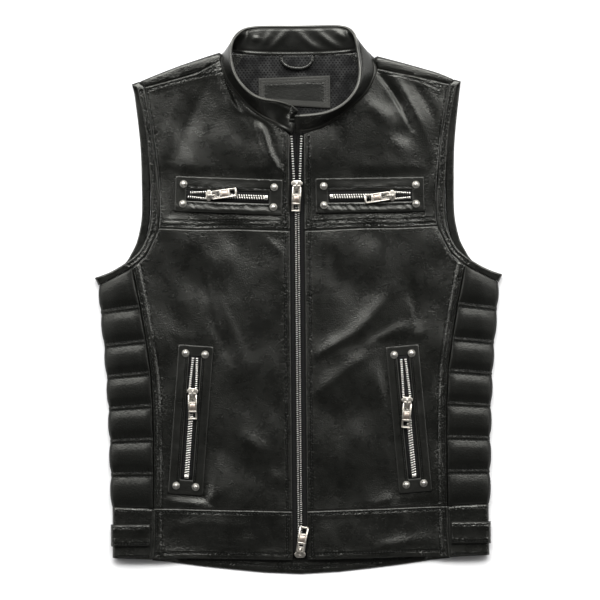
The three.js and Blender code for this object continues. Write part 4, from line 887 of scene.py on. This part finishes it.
# Pockets: a leather patch with raised lips, a metal zip in its opening and a stud at each corner.
def strip(name, line, width, thick, material):
    """A flat strip along a line of points in mm, its top on them."""
    line = np.array(line, float)
    way = np.gradient(line[:, :2], axis=0)
    way /= np.linalg.norm(way, axis=1)[:, None]
    bm = bmesh.new()
    bmesh.ops.create_grid(bm, x_segments=len(line) - 1, y_segments=2, size=0.5)
    for vert in bm.verts:
        i = round((vert.co.x + 0.5) * (len(line) - 1))
        out = vert.co.y * width
        x, y, z = line[i, 0] - way[i, 1] * out, line[i, 1] + way[i, 0] * out, line[i, 2]
        vert.co = Vector((x, y, z)) * MM
    bmesh.ops.recalc_face_normals(bm, faces=bm.faces)
    if sum(face.normal.z for face in bm.faces) < 0:
        bmesh.ops.reverse_faces(bm, faces=bm.faces)
    bmesh.ops.solidify(bm, geom=bm.faces[:], thickness=thick * MM)
    bmesh.ops.recalc_face_normals(bm, faces=bm.faces)
    mesh = bpy.data.meshes.new(name)
    bm.to_mesh(mesh)
    bm.free()
    return show(name, mesh, material)


bm = bmesh.new()
bmesh.ops.create_cone(bm, cap_ends=True, segments=6, radius1=4.5 * MM, radius2=2.3 * MM, depth=3.3 * MM)
bmesh.ops.bevel(bm, geom=bm.edges[:], offset=0.9 * MM, segments=2, affect="EDGES", profile=0.5, material=-1)
bmesh.ops.translate(bm, verts=bm.verts, vec=(0, 0, 2.05 * MM))
foot = bmesh.ops.create_cone(
    bm, cap_ends=True, segments=24, radius1=4.9 * MM, radius2=4.5 * MM, depth=0.7 * MM
)
bmesh.ops.translate(bm, verts=foot["verts"], vec=(0, 0, 0.35 * MM))
stud_shape = bpy.data.meshes.new("stud_shape")
bm.to_mesh(stud_shape)
bm.free()


def patch_shape(p):
    """The padded lip below the opening, wrinkled across, and the sunk one above it."""

    def shape(x, y, z):
        c, s = math.cos(math.radians(p["turn"])), math.sin(math.radians(p["turn"]))
        u = (x - p["x"]) * c + (y - p["y"]) * s
        v = -(x - p["x"]) * s + (y - p["y"]) * c
        inside = step(p["length"] / 2 - 8, p["length"] / 2 - 26, np.abs(u))
        low_lip = 2.1 * np.exp(-(((p["zip"] - v - 18.0) / 5.0) ** 2))
        high_lip = -0.6 * np.exp(-(((v - p["zip"] - 11.5) / 3.2) ** 2))
        lip = (0.2 + 0.9 * p["creased"]) * (low_lip + high_lip)
        on_lip = np.exp(-(((p["zip"] - v - 15) / 4) ** 2))
        wrinkle = 0.9 * p["creased"] * wave(u * 1.5 + v * 0.9, v * 0.2, 7.0, p["x"], 1) * on_lip
        return np.clip(lip * inside * 0.9 + wrinkle * 0.9, -0.8, 3)

    return shape


for name, p in POCKETS.items():
    cloth(f"{name}_patch", 3, patch_leather, patch_shape(p))
    ends = sorted((p["stop"], p["open"]))
    rows = []
    for v in (p["zip"] - 10.6, p["zip"] + 10.6):
        rows.append([local(p, ends[0] - 5, v), local(p, ends[1] + 5, v)])
    sew(f"{name}_patch", rows, 3.4)

    node = f"{name}_zip"
    toward = 1 if p["stop"] > p["open"] else -1
    spots = np.linspace(ends[0] - 2.5, ends[1] + 2.5, 24)
    line = []
    for u in spots:
        x, y = local(p, u, p["zip"] + 6.2)
        height = lay(nodes[node], [(x, y)])[0][0].z / MM
        line.append((*local(p, u, p["zip"]), height))
    line = [(x, y + SHIFT_Y, z) for x, y, z in line]
    tape = strip(f"{name}_tape", line, 14.2, 0.8, tape_cloth)
    length = (ends[1] - ends[0] + 5) * MM
    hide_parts(node)
    near = p["slider"] + toward * 7.6
    closed = [local(p, near, p["zip"]), local(p, p["stop"] - toward * 3, p["zip"])]
    places = teeth_along(node, closed, 3.1, 1.5, 16)
    far = p["slider"] - toward * 7.8
    for k in (-1, 1):
        strand = [local(p, far, p["zip"] + k * 4.2), local(p, p["open"], p["zip"] + k * 2.7)]
        places += teeth_along(node, strand, 2.7, 0.0, 0, 1)
    teeth = repeated(f"{name}_teeth", small_tooth, places, pocket_nickel)
    stop_at = lay(nodes[node], [local(p, p["stop"] - toward * 0.8, p["zip"])])[0][0]
    angle = Matrix.Rotation(math.radians(p["turn"]), 4, "Z")
    seat = Matrix.Translation(stop_at - Vector((0, 0, 0.6 * MM))) @ angle
    stop = repeated(f"{name}_stop", block("stop", (4.2, 5.6, 1.8), 0.4), [seat], bright_nickel)
    for letter in "abcd":
        node = f"{name}_stud_{letter}"
        low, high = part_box(node)
        spin = Matrix.Rotation(math.radians(17 + 23 * "abcd".index(letter)), 4, "Z")
        seat = Matrix.Translation(((low.x + high.x) / 2, (low.y + high.y) / 2, low.z)) @ spin
        stud = repeated(f"{name}_dome_{letter}", stud_shape, [seat], bright_nickel)
        stud.data.polygons.foreach_set("use_smooth", [False] * len(stud.data.polygons))
        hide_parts(node)


# Sliders and pulls: cast, their edges rounded; each pull has a sunk plain panel.
def rounded(node, width, material, body):
    """A copy of the solid with rounded edges."""
    bm = bmesh.new()
    bm.from_mesh(nodes[node].data)
    bmesh.ops.remove_doubles(bm, verts=bm.verts, dist=2e-6)
    bmesh.ops.dissolve_limit(bm, angle_limit=math.radians(3), verts=bm.verts, edges=bm.edges)
    sharp = [e for e in bm.edges if e.is_manifold and e.calc_face_angle() > math.radians(28)]
    bmesh.ops.bevel(
        bm, geom=sharp, offset=width * MM, segments=2, affect="EDGES", profile=0.5, material=-1,
        clamp_overlap=True,
    )
    mesh = bpy.data.meshes.new(node + "_cast")
    bm.to_mesh(mesh)
    bm.free()
    obj = show(node + "_cast", mesh, material, body)
    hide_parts(node)
    return obj


panel = block("panel", (6.8, 8.4, 0.4), 0.15)
rail = block("rail", (1.5, 30.0, 1.0), 0.35)
bar_across = block("bar_across", (11.0, 1.3, 1.0), 0.35)
for joint in frame["joints"]:
    node = joint["name"].replace("_hinge", "")
    pull = rounded(node, 0.35, pull_nickel, node)
    rounded(node.replace("_pull", "_slider"), 0.35, pull_nickel, "vest")
    pivot, axis = Vector(joint["pos_m"]), Vector(joint["axis"]).normalized()
    middle = sum((v.co for v in pull.data.vertices), Vector()) / len(pull.data.vertices)
    way = middle - pivot
    way = (way - axis * way.dot(axis)).normalized()
    up = axis.cross(way)
    up = up if up.z > 0 else -up
    turn = Matrix((axis, up.cross(axis), up)).transposed().to_4x4()

    def on_pull(across, down, rise):
        """Place on the pull's face, in mm across it and down from its pivot."""
        return Matrix.Translation(pivot + (axis * across + way * down + up * (0.7 + rise)) * MM) @ turn

    plate = repeated(f"{node}_panel", panel, [on_pull(0, 17.1, 0.05)], sunk_nickel, node)
    places = [on_pull(side * 4.95, 16.6, 0.1) for side in (-1, 1)]
    rails = repeated(f"{node}_rails", rail, places, pull_nickel, node)
    places = [on_pull(0, down, 0.1) for down in (12.0, 22.6, 32.2)]
    bars = repeated(f"{node}_bars", bar_across, places, pull_nickel, node)

# Stitches: each a small slack bead of thread between two needle holes.
bm = bmesh.new()
bmesh.ops.create_icosphere(bm, subdivisions=1, radius=0.5)
bead = bpy.data.meshes.new("bead")
bm.to_mesh(bead)
bm.free()
places = []
loop = curve(LOOP_POINTS, 1.9)
for (x, y), (wx, wy) in zip(loop[4:-4], np.gradient(loop, axis=0)[4:-4]):
    slant = Matrix.Rotation(math.atan2(wy, wx) + math.radians(58), 4, "Z")
    size = Matrix.Diagonal((2.4 * MM, 0.6 * MM, 0.5 * MM, 1))
    out = Vector((wy, -wx, 0)).normalized() * 0.6 * MM
    at = Vector((x * MM, (y + SHIFT_Y) * MM, (LOOP_HEIGHT + LOOP_RADIUS - 0.05) * MM)) + out
    places.append(Matrix.Translation(at) @ slant @ size)
ribs = repeated("hanger_stitches", bead, places, thread)
places = []
for here, ahead, up, thick in sewn_rows:
    way = ahead - here
    across = up.cross(way).normalized()
    rise = way.normalized().cross(across)
    turn = Matrix((way.normalized(), across, -rise)).transposed().to_4x4()
    size = Matrix.Diagonal((way.length * 0.8, 0.64 * MM * thick, 0.38 * MM * thick, 1))
    places.append(Matrix.Translation((here + ahead) / 2 + up * 0.1 * MM) @ turn @ size)
stitches = repeated("stitches", bead, places, thread)

# Floor and light: a white table, a broad soft light from beyond the collar, a weaker one each side.
bm = bmesh.new()
bmesh.ops.create_grid(bm, x_segments=1, y_segments=1, size=3.0)
mesh = bpy.data.meshes.new("floor")
bm.to_mesh(mesh)
bm.free()
floor = bpy.data.objects.new("floor", mesh)
floor.location.z = -0.2 * MM
white, shader, f = start_material("floor_white", (0.70, 0.70, 0.70), 0.9)
shader.inputs["Specular IOR Level"].default_value = 0.1
mesh.materials.append(white)
scene.collection.objects.link(floor)
LIGHTS = (
    ("far_light", (0.0, 2.75, 2.7), (5.1, 2.5), 445),
    ("near_light", (0.0, -2.3, 1.4), (2.6, 1.2), 7),
    ("left_light", (-2.0, 0.7, 1.3), (1.2, 0.8), 32),
    ("right_light", (2.0, 0.7, 1.3), (1.2, 0.8), 30),
)
for name, spot, size, power in LIGHTS:
    lamp = bpy.data.lights.new(name, "AREA")
    lamp.shape = "RECTANGLE"
    lamp.size, lamp.size_y = size
    lamp.energy = power
    light = bpy.data.objects.new(name, lamp)
    light.location = spot
    light.rotation_euler = (-Vector(spot)).to_track_quat("-Z", "Y").to_euler()
    scene.collection.objects.link(light)
world = bpy.data.worlds.new("studio")
world.use_nodes = True
world.node_tree.nodes["Background"].inputs["Color"].default_value = (1, 1, 1, 1)
world.node_tree.nodes["Background"].inputs["Strength"].default_value = 0.08
scene.world = world
